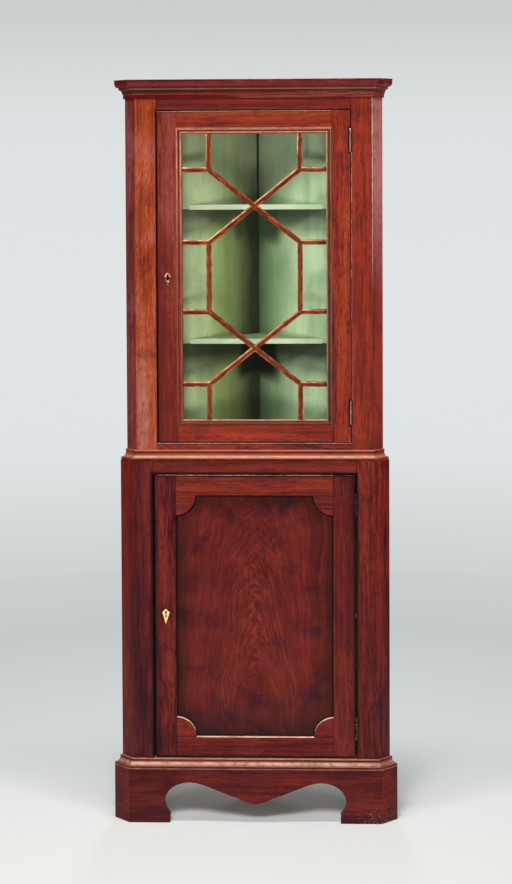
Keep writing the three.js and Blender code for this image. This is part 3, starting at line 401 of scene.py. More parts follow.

# Every board of the front, with its own cut of the log. ease is the width of its rounded edges in metres,
# and one key says which of them take a painted highlight, with some wear: edges that look up or stand
# upright, the flats of the bars, or nothing.
boards = {
    "cornice": {
        "grain": "x", "shift": (0.3, 0.1, 4.1), "wood": ("310808", "570808", "804136"), "ease": 0.0009,
        "relief": corniceRelief},
    "frieze_rail": {
        "grain": "x", "shift": (1.3, 0.4, 0.7), "wood": ("3e1615", "622118", "7d3125"), "ease": 0.0006,
        "gap": "upper", "joints": (-0.2635, 0.264)},
    "upper_left_corner_stile": {
        "grain": "z", "shift": (2.1, 0.2, 1.7), "wood": ("3a0814", "883919", "8e594d"), "paintedSheen": 0.35,
        "streak": 0.4, "cant": (0.3208, "a9adff", 1.56), "ease": 0.0012, "wornAndLit": "corner",
        "gap": "upper"},
    "upper_right_corner_stile": {
        "grain": "z", "shift": (3.7, 0.9, 0.3), "wood": ("2e1617", "792717", "74351d"),
        "cant": (0.3208, "e5e6ff", 1.56), "bloom": (1.42, 1.72, 0.75, "a86a62"), "ease": 0.0012,
        "wornAndLit": "corner", "gap": "upper", "gapShade": (0.5, "5a2a30")},
    "upper_bottom_rail": {
        "grain": "x", "shift": (0.9, 2.2, 3.1), "wood": ("130808", "3d181c", "802d1b"), "ease": 0.0006,
        "wornAndLit": "up", "gap": "upper", "joints": (-0.2635, 0.264)},
    "upper_door_lock_stile": {
        "grain": "z", "shift": (5.2, 0.5, 2.9), "wood": ("3c1717", "5d1c14", "75372b"), "paintedSheen": 0.12,
        "ease": 0.0007, "wornAndLit": "up", "relief": litSash, "gap": "upper"},
    "upper_door_hinge_stile": {
        "grain": "z", "shift": (4.4, 1.6, 0.8), "wood": ("0a0819", "712415", "893b1c"), "ease": 0.0007,
        "wornAndLit": "up", "relief": hingeSash, "gap": "upper", "gapShade": (0.5, "5a2a30"),
        "knuckles": upperKnuckles},
    "upper_door_top_rail": {
        "grain": "x", "shift": (6.2, 0.8, 2.4), "wood": ("461317", "762d18", "8c3d24"), "ease": 0.0007,
        "wornAndLit": "up", "relief": litSash, "gap": "upper", "joints": (-0.2107, 0.2153)},
    "upper_door_bottom_rail": {
        "grain": "x", "shift": (7.7, 1.2, 0.2), "wood": ("2e1717", "6f2317", "89331e"), "ease": 0.0007,
        "relief": shadedSash, "gap": "upper", "joints": (-0.2107, 0.2153)},
    "glazing_bars": {
        "grain": "z", "shift": (8.1, 0.4, 0.6), "wood": ("3a1009", "5f2412", "8a4428"), "ease": 0,
        "wornAndLit": "bars"},
    "waist_moulding": {
        "grain": "x", "shift": (9.5, 0.3, 0.2), "wood": ("4a1a14", "7a2c1c", "93402a"), "ease": 0.0008,
        "relief": waistRelief},
    "lower_top_rail": {
        "grain": "x", "shift": (1.9, 3.3, 0.5), "wood": ("381113", "652319", "6e2a20"), "ease": 0.0006,
        "gap": "lower", "joints": (-0.2755, 0.276)},
    "lower_left_corner_stile": {
        "grain": "z", "shift": (2.6, 4.1, 0.4), "wood": ("210a0f", "4d1719", "622518"),
        "cant": (0.3308, "ffdaba", 1.53), "ease": 0.0012, "gap": "lower"},
    "lower_right_corner_stile": {
        "grain": "z", "shift": (3.2, 5.5, 1.5), "wood": ("080810", "581a14", "792f21"),
        "cant": (0.3308, "ffd9e2", 1.61), "ease": 0.0012, "gap": "lower"},
    "lower_door_lock_stile": {
        "grain": "z", "shift": (4.9, 6.1, 0.1), "wood": ("080808", "3a0c13", "682419"), "ease": 0.001,
        "wornAndLit": "up", "dull": True, "gap": "lower", "handGrime": (-0.2416, -0.186, 0.5681)},
    "lower_door_hinge_stile": {
        "grain": "z", "shift": (5.8, 7.3, 2.2), "wood": ("230a17", "4a1612", "6b2416"), "ease": 0.001,
        "wornAndLit": "up", "dull": True, "gap": "lower"},
    "lower_door_top_rail": {
        "grain": "x", "shift": (6.6, 8.2, 1.1), "wood": ("361113", "682318", "8f3523"), "ease": 0.001,
        "wornAndLit": "up", "dull": True, "gap": "lower", "joints": (-0.214, 0.213), "seam": (0.8872, 0.159)},
    "lower_door_bottom_rail": {
        "grain": "x", "shift": (7.1, 9.4, 0.9), "wood": ("30090e", "5f1c17", "822a16"), "ease": 0.0013,
        "wornAndLit": "up", "pale": (0.227, 0.283), "gap": "lower", "joints": (-0.214, 0.213),
        "seam": (0.2274, 0.159)},
    "base_moulding": {
        "grain": "x", "shift": (8.8, 1.5, 5.2), "wood": ("431714", "6a2620", "803628"), "ease": 0.0008,
        "relief": baseRelief},
    "plinth": {
        "grain": "x", "shift": (9.9, 2.8, 6.4), "wood": ("210808", "3c0d12", "601c12"),
        "cant": (0.3423, "ffa88c", 1.6), "ease": 0.0012, "relief": plinthRelief,
        "scuffs": (0.27, 0.32, 0.05)},
}

panelFigure = {
    "wander": (5.0, 3.0), "drift": 0.07,  # the flames sway over 200 mm, within 70 mm from end to end
    "lean": 2.0,  # how steeply the feather falls away to each side
    "steep": (0.25, 0.85, 0.5, 2.2),  # from low to high, the lean falls from 2.2 times to half
    "apex": 0.045,  # the round of the feather's tip
    "flatten": (0.35, 1, 0.6),  # a flame is longer than it is high
    "bands": (34, 6.0, 0.68),  # one flame to about 50 mm of height, flattened as it is
    "broad": (6, 3.0),
    "fibres": (190, 3.0, 0.65),  # strands within a flame, drawn 9 mm apart
    "smoke": (16, 5.0, 0.6),
    "cloud": (13, 5.0, 0.66, 0.4),
    "shares": (0.55, 0.3, 0.28),  # of the broad, smoke and fibre noise in the bands
    "places": (0.36, 0.5, 0.63),
    "crest": 0.708,  # the flame that glows: its tip is about 0.6 m up
    "glow": (0.2, 0.0, 1.0, *smooth), "strands": (0.44, 0.66, 0.3), "clouded": (0.53, 0.7, 0.85),
    "foot": (0.36, 0.23, 0.55),
    "wood": ("30080f", "4d1713", "6f231b"), "streak": "8a3c22", "shadow": "26101a", "recessShade": "0d0d0a",
    "opening": {"middle": (-0.0005, 0.5573), "half": (0.2135, 0.3299)},
    "spandrel": 0.054, "ragged": 0.09,
    "edge": (-0.0085, -0.0035, 0.95), "raggedShade": (-0.02, 0.04, 0.6),
    "skin": {"IOR": 1.5, "Roughness": 0.38, "Specular IOR Level": 0.15}, "relief": (0.4, 0.0003),
}


def flameMahogany(name, figure):
    # a panel sawn from a crotch, where a branch leaves the trunk: the fibres rise to a feather down its
    # middle, so that soft light and dark flames fall away to both sides; painted shade darkens it round the
    # edge of its frame
    material, add, place = newMaterial(name)
    wavy = wavered(add, place, place, figure["wander"], figure["drift"])
    axes = add("SeparateXYZ", {0: wavy}).outputs
    square = add("Math", {"operation": "MULTIPLY_ADD", 0: axes["X"], 1: axes["X"], 2: figure["apex"] ** 2})
    spread = add("Math", {"operation": "SQRT", 0: square})
    # flames stand steeper low down and arch more near the top
    low, high, arched, steep = figure["steep"]
    lean = joined(add, "MULTIPLY", [(axes["Z"], low, high, figure["lean"] * arched, figure["lean"] * steep)])
    flame = add("Math", {"operation": "MULTIPLY_ADD", 0: spread, 1: lean, 2: axes["Z"]})
    track = add("CombineXYZ", {0: axes["X"], 2: flame})
    flat = add("VectorMath", {"operation": "MULTIPLY", 0: track, 1: figure["flatten"]})
    tone, broad, fibre, smoke, cloud = [
        add("TexNoise", {"Vector": vector, "noise": figure[layer]})
        for vector, layer in ((flat, "bands"), (flat, "broad"), (flat, "fibres"), (wavy, "smoke"),
                              (place, "cloud"))]
    for share, other in zip(figure["shares"], (broad, smoke, fibre)):
        tone = add("Mix", {"Factor": share, "A": tone, "B": other})
    colour = add("ValToRGB", {"Fac": tone, "stops": list(zip(figure["places"], figure["wood"]))})
    # the crest of the feather: bright orange strands that fall away from its tip
    tip = fromLine(add, flame, figure["crest"])
    colour = stain(add, colour, figure["streak"], (tip, *figure["glow"]), (fibre, *figure["strands"]))
    colour = stain(add, colour, figure["shadow"], (cloud, *figure["clouded"]))
    # the panel is darker towards its foot
    colour = stain(add, colour, figure["shadow"], (axes["Z"], *figure["foot"]))
    # metres past the frame's opening, and past the round of its spandrels: less than nothing where the
    # panel shows
    past = pastSides(add, add("SeparateXYZ", {0: place}).outputs, figure["opening"])
    corner = add("CombineXYZ", {0: past[0], 1: past[1]})
    corner = add("VectorMath", {"operation": "LENGTH", 0: corner})
    past.append(add("Math", {"operation": "SUBTRACT", 0: figure["spandrel"], 1: corner}))
    past = joined(add, "MAXIMUM", past)
    # painted shade in the recess round the opening: a black line at the frame's edge and a ragged band beyond
    ragged = add("Math", {"operation": "MULTIPLY_ADD", 0: cloud, 1: figure["ragged"], 2: past})
    dirtAndShade = joined(add, "MAXIMUM", [(past, *figure["edge"]), (ragged, *figure["raggedShade"])])
    colour = stain(add, colour, figure["recessShade"], dirtAndShade)
    finish(add, {**figure["skin"], "Base Color": colour}, (cloud, *figure["relief"]))
    return material


dress(["lower_door_panel"], flameMahogany("flameMahogany_panel", panelFigure))

# painted highlights on the rounded edges, with real wear: mahogany where two centuries of dusters have
# worn the stain and polish off an edge and left the wax in it: pale orange to cream, unevenly over some
# 30 mm of the edge
rubbedArris = {"noise": (30, 3.0, 0.6), "places": (0.34, 0.48, 0.6), "relief": (0.3, 0.0002),
               "skin": {"IOR": 1.5, "Roughness": 0.36, "Specular IOR Level": 0.3}}
creamLitArris = speckled("litArris_cream", rubbedArris, ("b98468", "cf9f84", "dcae92"))
dullLitArris = speckled("litArris_dull", rubbedArris, ("6b322b", "8f5a50", "b98c7e"))
# the bars' flats come in a lit copy and a shaded copy: painted light and shade
rubbedBar = {**rubbedArris, "noise": (60, 3.0, 0.6)}
barLitArris = speckled("litArris_barTop", rubbedBar, ("8a5336", "ad764f", "cb9c70"))
barShadedArris = speckled("shadedArris_barSide", rubbedBar, ("48190d", "66301a", "8e5433"))

# Eased copies: each board of the front is copied, its loose triangles are merged into whole faces, its
# free edges are rounded, and those that each board's rule picks by the way they face take the pale
# material, a painted highlight with some wear. Edges that meet a neighbouring board stay sharp.
easing = {"sharp": math.radians(28), "segments": 2, "level": math.radians(0.6), "merge": 0.00002,
          "joint": 0.0012,  # boards this near to an edge meet it
          "depth": 0.06,  # edges further back are left sharp
          "ledge": 0.03,  # how far back a rail's ledge takes the painted highlight
          "shortest": 1.5,  # edges shorter than this many widths are left sharp
          "probes": (0.03, 0.25, 0.5, 0.75, 0.97),  # places along an edge where it may meet a board
          "up": 0.3, "upright": 0.2,
          "flat": (0.0032, 0.0008), "facing": 0.9,  # the bars' flats: this far behind the bead, give or take
          "light": (Vector((-0.45, 0, 0.9)), 0.6)}  # where the painted light falls from, and how much makes a flat pale
solids = {}
for name, node in nodes.items():
    if name.startswith("pane_"):
        continue
    shape = bmesh.new()
    shape.from_mesh(node.data)
    solids[name] = (body_of(node)[0], BVHTree.FromBMesh(shape))
    shape.free()


def meetsBoard(name, edge):
    # True where any part of an edge lies against another solid of the same body
    body = solids[name][0]
    first, last = (vertex.co for vertex in edge.verts)
    for share in easing["probes"]:
        spot = first.lerp(last, share)
        for other, (otherBody, tree) in solids.items():
            if other == name or otherBody != body:
                continue
            if tree.find_nearest(spot, easing["joint"])[0] is not None:
                return True
    return False


def isWornAndLit(rule, normal):
    # "up" paints the highlight where a face looks up, "corner" where it stands upright
    return rule == "up" and normal.z > easing["up"] or rule == "corner" and abs(normal.z) < easing["upright"]


def wholeFaces(node):
    # a bmesh of a CAD node, its loose triangles merged into whole faces
    shape = bmesh.new()
    shape.from_mesh(node.data)
    bmesh.ops.remove_doubles(shape, verts=shape.verts, dist=easing["merge"])
    bmesh.ops.dissolve_limit(shape, angle_limit=easing["level"], verts=shape.verts, edges=shape.edges)
    return shape


def addPart(whole, shape):
    part = bpy.data.meshes.new("part")
    shape.to_mesh(part)
    shape.free()
    whole.from_mesh(part)
    bpy.data.meshes.remove(part)


def newPiece(name, shape, materials):
    mesh = bpy.data.meshes.new(name)
    shape.to_mesh(mesh)
    shape.free()
    for material in materials:
        mesh.materials.append(material)
    piece = bpy.data.objects.new(name, mesh)
    bpy.context.scene.collection.objects.link(piece)
    return piece


def easedBoard(name, board, materials):
    node = nodes[name]
    shape = wholeFaces(node)
    bmesh.ops.recalc_face_normals(shape, faces=shape.faces)
    for face in shape.faces:
        face.material_index = 0
    front = min(vertex.co.y for vertex in shape.verts)
    if board["ease"]:
        free = [edge for edge in shape.edges
                if edge.is_manifold and edge.calc_face_angle_signed() > easing["sharp"]
                and max(vertex.co.y for vertex in edge.verts) < front + easing["depth"]
                and edge.calc_length() > board["ease"] * easing["shortest"]
                and not meetsBoard(name, edge)]
        rounded = bmesh.ops.bevel(shape, geom=free, offset=board["ease"], offset_type="OFFSET",
                                  segments=easing["segments"], profile=0.5, affect="EDGES",
                                  clamp_overlap=True, material=-1)
        for face in rounded["faces"]:
            face.smooth = True
            face.material_index = int(isWornAndLit(board.get("wornAndLit"), face.normal))
    if "pale" in board:
        # a painted highlight, with some wear, on what the light and the duster reach first: the ledge of a rail
        low, high = board["pale"]
        for face in shape.faces:
            middle = face.calc_center_median()
            if isWornAndLit("up", face.normal) and low < middle.z < high and middle.y < front + easing["ledge"]:
                face.material_index = 1
    if board.get("wornAndLit") == "bars":
        # painted light on the bars' flats: lit where they look up or to the left, shaded elsewhere
        bmesh.ops.triangulate(shape, faces=shape.faces)
        depth, within = easing["flat"]
        light, enough = easing["light"]
        for face in shape.faces:
            behind = face.calc_center_median().y - front
            if face.normal.y < -easing["facing"] and abs(behind - depth) < within:
                lean = Vector((0, 0, 0))
                for other in [other for edge in face.edges for other in edge.link_faces]:
                    if abs(other.normal.y) < easing["facing"]:
                        lean += other.normal
                face.material_index = 1 if lean.dot(light) > enough else 2
    piece = newPiece(name + "Eased", shape, materials)
    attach(piece, body_of(node)[0])
    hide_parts(name)
    return piece


for name, board in boards.items():
    pale = creamLitArris
    if name == "glazing_bars":
        pale = barLitArris
    elif board.get("wornAndLit") == "corner" or "dull" in board:
        pale = dullLitArris
    piece = easedBoard(name, board, [polishedMahogany(name, board), pale, barShadedArris])
print("mahogany done:", len(boards) + 1, "boards")

# Secondary wood: pine behind, painted green inside the upper stage
pineColours = ("6d4b2a", "8f683f", "a98454")
backBoards = {
    # side * x + y at the planks' room side, 9.5 mm in from the wall
    "painted": 0.2145 - 0.0095 * math.sqrt(2),
    "upright": (1, 1, 0.06),
    "grain": (70, 3.0, 0.6), "grainPlaces": (0.35, 0.5, 0.62),
    "brush": (30, 4.0, 0.6), "stains": (7, 4.0, 0.6), "stained": 0.6, "paintPlaces": (0.34, 0.5, 0.62),
    "scuffs": (28, 5.0, 0.7, 1.2), "scuffed": (0.63, 0.72, 0.45),
    "yellowBelow": (1.72, 1.62, 1.0), "shadeFadesUp": (1.8, 1.64, 1.0, 0.6), "ragged": -0.05,
    "crack": (0.006, 0.003, 0.95), "behind": (0.222, 0.236, 0.98), "corner": "11180f",
    "skin": {"IOR": 1.48, "Roughness": 0.5}, "relief": (0.4, 0.0004),
    # painted shadow below the low and the high shelf: from, fully by, its underside; how dark, and in the
    # corner
    "smoke": [(1.168, 1.25, 1.283, 0.9, 0.998), (1.565, 1.64, 1.659, 0.8, 0.85)],
    # in the corner both heights are this much lower; there it is gone by 75 mm out and full within 22
    "funnel": (0.07, 0.055), "funnelWidth": (0.075, 0.022),
}


def paintedPine(name, side, look):
    # white pine left bare towards the wall; on the room side brushed oil paint, gone yellow in the corner and
    # darkened there by painted shade, with the brush marks running up and down, painted shadow under the
    # shelves and a few dark scuffs
    material, add, place = newMaterial(name)
    axes = add("SeparateXYZ", {0: place}).outputs
    across = add("Math", {"operation": "MULTIPLY_ADD", 0: axes["X"], 1: float(side), 2: axes["Y"]})
    inside = add("Math", {"operation": "LESS_THAN", 0: across, 1: backBoards["painted"]})
    upright = add("VectorMath", {"operation": "MULTIPLY", 0: place, 1: backBoards["upright"]})
    grain, brush, stains, scuffs = [
        add("TexNoise", {"Vector": vector, "noise": backBoards[layer]})
        for vector, layer in ((upright, "grain"), (upright, "brush"), (place, "stains"), (place, "scuffs"))]
    wearAndHighlight = add("Mix", {"Factor": backBoards["stained"], "A": brush, "B": stains})
    pine = add("ValToRGB", {"Fac": grain, "stops": list(zip(backBoards["grainPlaces"], pineColours))})
    paint = add("ValToRGB", {"Fac": wearAndHighlight, "stops": list(zip(backBoards["paintPlaces"], look["paint"]))})
    # in the corner where the two walls meet, the paint has yellowed below the high shelf
    reach = add("Math", {"operation": "ABSOLUTE", 0: axes["X"]})
    aged = joined(add, "MULTIPLY", [(reach, *look["yellowed"]), (axes["Z"], *backBoards["yellowBelow"])])
    paint = add("Mix", {"data_type": "RGBA", "blend_type": "MULTIPLY", 0: aged, 6: paint,
                        7: linear(look["yellow"])})
    # painted shade darkens the corner too, less of it near the top
    ragged = add("Math", {"operation": "MULTIPLY_ADD", 0: stains, 1: backBoards["ragged"], 2: reach})
    paintedShade = joined(add, "MULTIPLY", [(ragged, *look["paintedShade"]), (axes["Z"], *backBoards["shadeFadesUp"])])
    # behind the stiles the walls are painted black: painted shade where the stiles hide them
    dirtAndShade = [paintedShade, (scuffs, *backBoards["scuffed"]), (reach, *backBoards["crack"]),
            (reach, *backBoards["behind"])]
    for low, high, underside, amount, cornerAmount in backBoards["smoke"]:
        # painted shadow below each shelf, darkest in the corner
        closed = add("Math", {"operation": "LESS_THAN", 0: axes["Z"], 1: underside})
        top, foot = backBoards["funnel"]
        funnel = joined(add, "MULTIPLY", [(axes["Z"], low - top, high - foot, cornerAmount, *smooth),
                                         (ragged, *backBoards["funnelWidth"], 1.0, *smooth)])
        shadowPall = joined(add, "MAXIMUM", [(axes["Z"], low, high, amount), funnel])
        dirtAndShade.append(joined(add, "MULTIPLY", [shadowPall, closed]))
    paint = stain(add, paint, backBoards["corner"], joined(add, "MAXIMUM", dirtAndShade))
    colour = add("Mix", {"data_type": "RGBA", 0: inside, 6: pine, 7: paint})
    finish(add, {**backBoards["skin"], "Base Color": colour}, (brush, *backBoards["relief"]))
    return material


dress(["upper_left_back"], paintedPine("paintedPine_left", -1, {
    "paint": ("b3c28f", "dae6b6", "e6f0c6"), "paintedShade": (0.115, -0.005, 0.95),
    "yellow": "d8dcb4", "yellowed": (0.15, 0.105, 1.0)}))
dress(["upper_right_back"], paintedPine("paintedPine_right", 1, {
    "paint": ("bad1a8", "dcf2ca", "e8fad8"), "paintedShade": (0.09, -0.025, 0.85),
    "yellow": "e4f2dc", "yellowed": (0.09, 0.06, 1.0)}))

# the same oil paint on pine shelves and boards: level and brushed along the shelf, with a painted highlight
# along the front edge
shelfPaint = {"stretch": (0.08, 1, 1), "noise": (40, 4.0, 0.6), "places": (0.35, 0.5, 0.62),
              "relief": (0.3, 0.0003), "skin": {"IOR": 1.48, "Roughness": 0.45}}
shelfGreens = ("8fa07c", "a9b795", "bccba8")
frontEdgeHighlight = (0.006, 0.001, 0.9)
dress(["upper_low_shelf", "upper_high_shelf"],
      speckled("greenShelfPaint", shelfPaint, shelfGreens, mark=(("Y", 0.012), "e6f2d6", frontEdgeHighlight)))
dress(["upper_bottom_board"],
      speckled("greenFloorPaint", shelfPaint, shelfGreens, mark=(("Y", -0.1408), "b9c9a6", frontEdgeHighlight)))

# pine sawn and planed but never finished, gone brown with age: pale early wood, darker lines 17 mm apart
barePine = {"noise": (60, 3.0, 0.6, 0.3), "blotches": (0.45, (5, 4.0, 0.6)), "places": (0.36, 0.5, 0.62),
            "relief": (0.5, 0.0004), "skin": {"IOR": 1.48, "Roughness": 0.72}}
dress(["lower_left_back", "lower_right_back", "rear_foot"],
      speckled("barePine_upright", barePine, pineColours, stretch=(1, 1, 0.06)))
dress(["upper_top_board", "lower_top_board", "lower_bottom_board", "lower_shelf"],
      speckled("barePine_level", barePine, pineColours, stretch=(0.06, 1, 1)))
print("pine and paint done")

# cast and filed metal, once polished, gone brown in the corners and bright where fingers and doors rub it.
# Its noise has patches of 4 to 6 mm, and gloss ends with the roughness of the bright and of the dark ones
castMetal = {"places": (0.38, 0.55, 0.68), "relief": (0.3, 0.0001), "skin": {"Metallic": 1.0}}
brass = {**castMetal, "noise": (240, 4.0, 0.65)}
iron = {**castMetal, "noise": (180, 4.0, 0.65)}
# painted shade on the upper knuckles: their sides are painted black, leaving a bright line along the crown
knuckleShadeMark = (("X", knuckleLine - 0.0012), "170c0c", (0.0011, 0.002, 0.9))
hingeBrass = speckled("polishedBrass", brass, ("c2aaa4", "eedad4", "fff6f2"), gloss=(0.35, 0.65, 0.35, 0.5),
                      mark=knuckleShadeMark)
dullBrass = speckled("patinatedBrass", brass, ("1d1614", "4e3f3a", "cdb9a8"), gloss=(0.35, 0.65, 0.3, 0.5))
lockIron = speckled("forgedIron", iron, ("0b0908", "15110f", "2c2723"), gloss=(0.35, 0.65, 0.5, 0.7))
screwSteel = speckled("filedSteel", iron, ("1d1a18", "3b3632", "5d5750"), gloss=(0.35, 0.65, 0.4, 0.65))
boltBrass = speckled("wornBrass", castMetal, ("33231a", "6d4c2e", "a98a55"), gloss=(0.35, 0.65, 0.3, 0.5),
                     noise=(160, 4.0, 0.65))
dress([n for n in nodes if n.startswith("upper_") and n.endswith("_leaf")], hingeBrass)
dress([n for n in nodes if n.startswith("lower_") and n.endswith("_leaf")], dullBrass)
dress(["upper_lock_case", "lower_lock_case"], lockIron)
dress(["upper_lock_bolt", "lower_lock_bolt"], boltBrass)

# the upper key plate has been polished over with the door, so stain covers its bone but for the worn
# corners, and the rim of the slot is painted black: painted shade round the hole
plateLow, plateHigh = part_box("upper_escutcheon")
plateMiddle = [(a + b) / 2 for a, b in zip(plateLow, plateHigh)]
keySlotShade = ((plateMiddle[0], plateLow[1], plateMiddle[2] + 0.003), "0e0605", (0.0075, 0.0045, 0.95))
stainedBone = speckled("stainedBone", rubbedArris, ("6a2822", "84423a", "c79a8c"), noise=(130, 3.0, 0.6),
                       mark=keySlotShade)
dress(["upper_escutcheon"], stainedBone)

# cattle bone, sawn thin, filed to a kite and let in flush: cream with faint brown pores, polished by hands
bone = {"noise": (300, 3.0), "places": (0.3, 0.48, 0.62),
        "skin": {"IOR": 1.54, "Roughness": 0.35, "Subsurface Weight": 0.05}}
dress(["lower_escutcheon"], speckled("carvedBone", bone, ("b08446", "dcb878", "ecd19c")))


# the wave runs over 110 mm
pane = {"wave": (9.0, 1.0), "relief": {"Strength": 0.2, "Distance": 0.001},
        "tint": "fafcf9", "mirror": 0.03, "IOR": 1.5}


def crownGlass(name):
    # old window glass, blown and cut: nearly clear, a breath of green, mirror smooth with a slight wave
    material, add, place = newMaterial(name)
    wave = add("TexNoise", {"Vector": place, "noise": pane["wave"]})
    bump = add("Bump", {"Height": wave, **pane["relief"]})
    through = add("BsdfTransparent", {"Color": linear(pane["tint"])})
    mirror = add("BsdfAnisotropic", {"Roughness": pane["mirror"], "Normal": bump})
    gloss = add("Fresnel", {"IOR": pane["IOR"], "Normal": bump})
    glass = add("MixShader", {0: gloss, 1: through, 2: mirror})
    add("OutputMaterial", {"Surface": glass})
    return material


dress([n for n in nodes if n.startswith("pane_")], crownGlass("crownGlass"))
print("metal, bone and glass done")

# Eased edges of the pieces that stay as CAD nodes: rags have rounded them by 0.4 mm
smallEase = {"width": 0.0004, "segments": 2, "angle": math.radians(32)}
for name, node in nodes.items():
    if name in boards or name.startswith("pane_") or "_back" in name:
        continue
    weld = node.modifiers.new("weldedCorners", "WELD")
    weld.merge_threshold = easing["merge"]
    soft = node.modifiers.new("easedEdges", "BEVEL")
    soft.width = smallEase["width"]
    soft.segments = smallEase["segments"]
    soft.limit_method = "ANGLE"
    soft.angle_limit = smallEase["angle"]

# Putty that beds the thirteen panes, seen from inside the door. It starts a hair off the glass, thick at
# the rebate and thin at its inner edge.
puttyBead = {"width": 0.0042, "gap": 0.0001, "thin": 0.0002, "thick": 0.0016}
# whiting and linseed oil, pressed in with a knife and gone hard: a lumpy, matt tan
agedPutty = {"noise": (160, 4.0, 0.65), "places": (0.32, 0.5, 0.66), "relief": (0.6, 0.0003),
             "skin": {"IOR": 1.48, "Roughness": 0.7}}


def pressPutty():
    whole = bmesh.new()
    for node in [node for name, node in nodes.items() if name.startswith("pane_")]:
        shape = wholeFaces(node)
        back = max(shape.faces, key=lambda face: face.calc_center_median().y)
        bmesh.ops.delete(shape, geom=[face for face in shape.faces if face is not back], context="FACES")
        outline = [vertex.co.copy() for vertex in back.verts]
        ring = bmesh.ops.inset_region(shape, faces=[back], thickness=puttyBead["width"], use_boundary=True,
                                      use_even_offset=True)["faces"]
        bmesh.ops.delete(shape, geom=[back], context="FACES_ONLY")
        # True for the corners on the pane's own outline
        rims = {vertex: min((vertex.co - spot).length for spot in outline) < easing["merge"]
                for face in ring for vertex in face.verts}
        for vertex in rims:
            vertex.co.y += puttyBead["gap"]
        grown = bmesh.ops.extrude_face_region(shape, geom=ring)["geom"]
        for vertex in [v for v in grown if isinstance(v, bmesh.types.BMVert)]:
            twin = min(rims, key=lambda other: (other.co - vertex.co).length)
            vertex.co.y += puttyBead["thick"] if rims[twin] else puttyBead["thin"]
        bmesh.ops.recalc_face_normals(shape, faces=shape.faces)
        addPart(whole, shape)
    tan = speckled("agedPutty", agedPutty, ("6b5138", "a08560", "c2ab85"))
    putty = newPiece("glazingPutty", whole, [tan])
    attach(putty, "glazed_door")


pressPutty()

# Hinge screws: three to a leaf, countersunk almost flush, their slots filed at different angles
hingeScrew = {"radius": 0.0032, "head": 0.0012, "slotWidth": 0.0009, "slotDepth": 0.0005, "spacing": 0.0195,
              "sides": 20, "turns": (20, 75, 130), "proud": 0.0001,
              "barrel": 0.012, "fromBack": 0.0075}  # from its back edge to the barrel and to the screws


def driveScrews(leafName):
    low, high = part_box(leafName)
    onDoor = leafName.endswith("door_leaf")
    # the plate is the part of the leaf behind the barrel; its bare side faces the other leaf
    barrel = high[1] - hingeScrew["barrel"]
    plate = [vertex.co.x for vertex in nodes[leafName].data.vertices if vertex.co.y > barrel]
    bare = max(plate) if onDoor else min(plate)
    facing = 1 if onDoor else -1
    whole = bmesh.new()
    for place, turn in zip((-1, 0, 1), hingeScrew["turns"]):
        shape = bmesh.new()
        bmesh.ops.create_circle(shape, cap_ends=True, radius=hingeScrew["radius"],
                                segments=hingeScrew["sides"])
        # the slot: the disc is split by two cuts, and the strip between them sinks
        for offset in (-0.5, 0.5):
            bmesh.ops.bisect_plane(shape, geom=shape.verts[:] + shape.edges[:] + shape.faces[:],
                                   plane_no=(0, 1, 0), plane_co=(0, offset * hingeScrew["slotWidth"], 0))
        inSlot = hingeScrew["slotWidth"] * 0.3
        strip = [face for face in shape.faces if abs(face.calc_center_median().y) < inSlot]
        sunk = bmesh.ops.extrude_face_region(shape, geom=strip)["geom"]
        bmesh.ops.delete(shape, geom=[face for face in strip if face.is_valid], context="FACES_ONLY")
        bmesh.ops.translate(shape, verts=[v for v in sunk if isinstance(v, bmesh.types.BMVert)],
                            vec=(0, 0, -hingeScrew["slotDepth"]))
        # the head gets its body by closing it behind, inside the leaf
        backs = bmesh.ops.extrude_face_region(shape, geom=shape.faces[:])["geom"]
        for vertex in [v for v in backs if isinstance(v, bmesh.types.BMVert)]:
            vertex.co.z = -hingeScrew["head"]
        bmesh.ops.remove_doubles(shape, verts=shape.verts, dist=easing["merge"])
        bmesh.ops.recalc_face_normals(shape, faces=shape.faces)
        for degrees, axis in ((turn, "Z"), (90 * facing, "Y")):
            bmesh.ops.rotate(shape, verts=shape.verts, cent=(0, 0, 0),
                             matrix=Matrix.Rotation(math.radians(degrees), 3, axis))
        bmesh.ops.translate(shape, verts=shape.verts,
                            vec=(bare + hingeScrew["proud"] * facing, high[1] - hingeScrew["fromBack"],
                                 (low[2] + high[2]) / 2 + place * hingeScrew["spacing"]))
        addPart(whole, shape)
    screws = newPiece(leafName + "_screws", whole, [screwSteel])
    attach(screws, body_of(nodes[leafName])[0])


for name in [n for n in nodes if "_hinge_" in n and n.endswith("_leaf")]:
    driveScrews(name)
print("putty and screws done")

# Studio: a round pale floor that meets the background at its rim, a key bank in front and to the left, a
# fill low in front, a narrow bank overhead, two tall strips and a small bank behind
studio = {
    "radius": 3.1, "sides": 128, "fromFront": (-1.2, 0.8),
    "shownFrom": (-0.02, 0.65), "rimFrom": (1.3, 2.0), "fallOff": (-0.25, 0.10), "dimLight": ("e6e8ea", 0.11),
    "floor": [(0.0, "b2b3b1"), (0.24, "d6d7d4"), (0.42, "dadad7"), (0.6, "dadddc"), (1.0, "d4dada")],
    "far": [(0.05, "dfe4e4"), (0.17, "d1d6d6"), (0.31, "d2d6d6"), (0.474, "cbd0d0"), (0.665, "c4caca"),
            (0.9, "c9cfcf"), (1.0, "cacfcf")],
    "backdrop": [(0.1, "cacfcf"), (0.19, "d3d8d8"), (0.294, "dee3e5"), (0.52, "e1e5e7"), (0.8, "dde1e3"),
                 (0.886, "d5d9d9"), (0.962, "cbcfcf")],
}


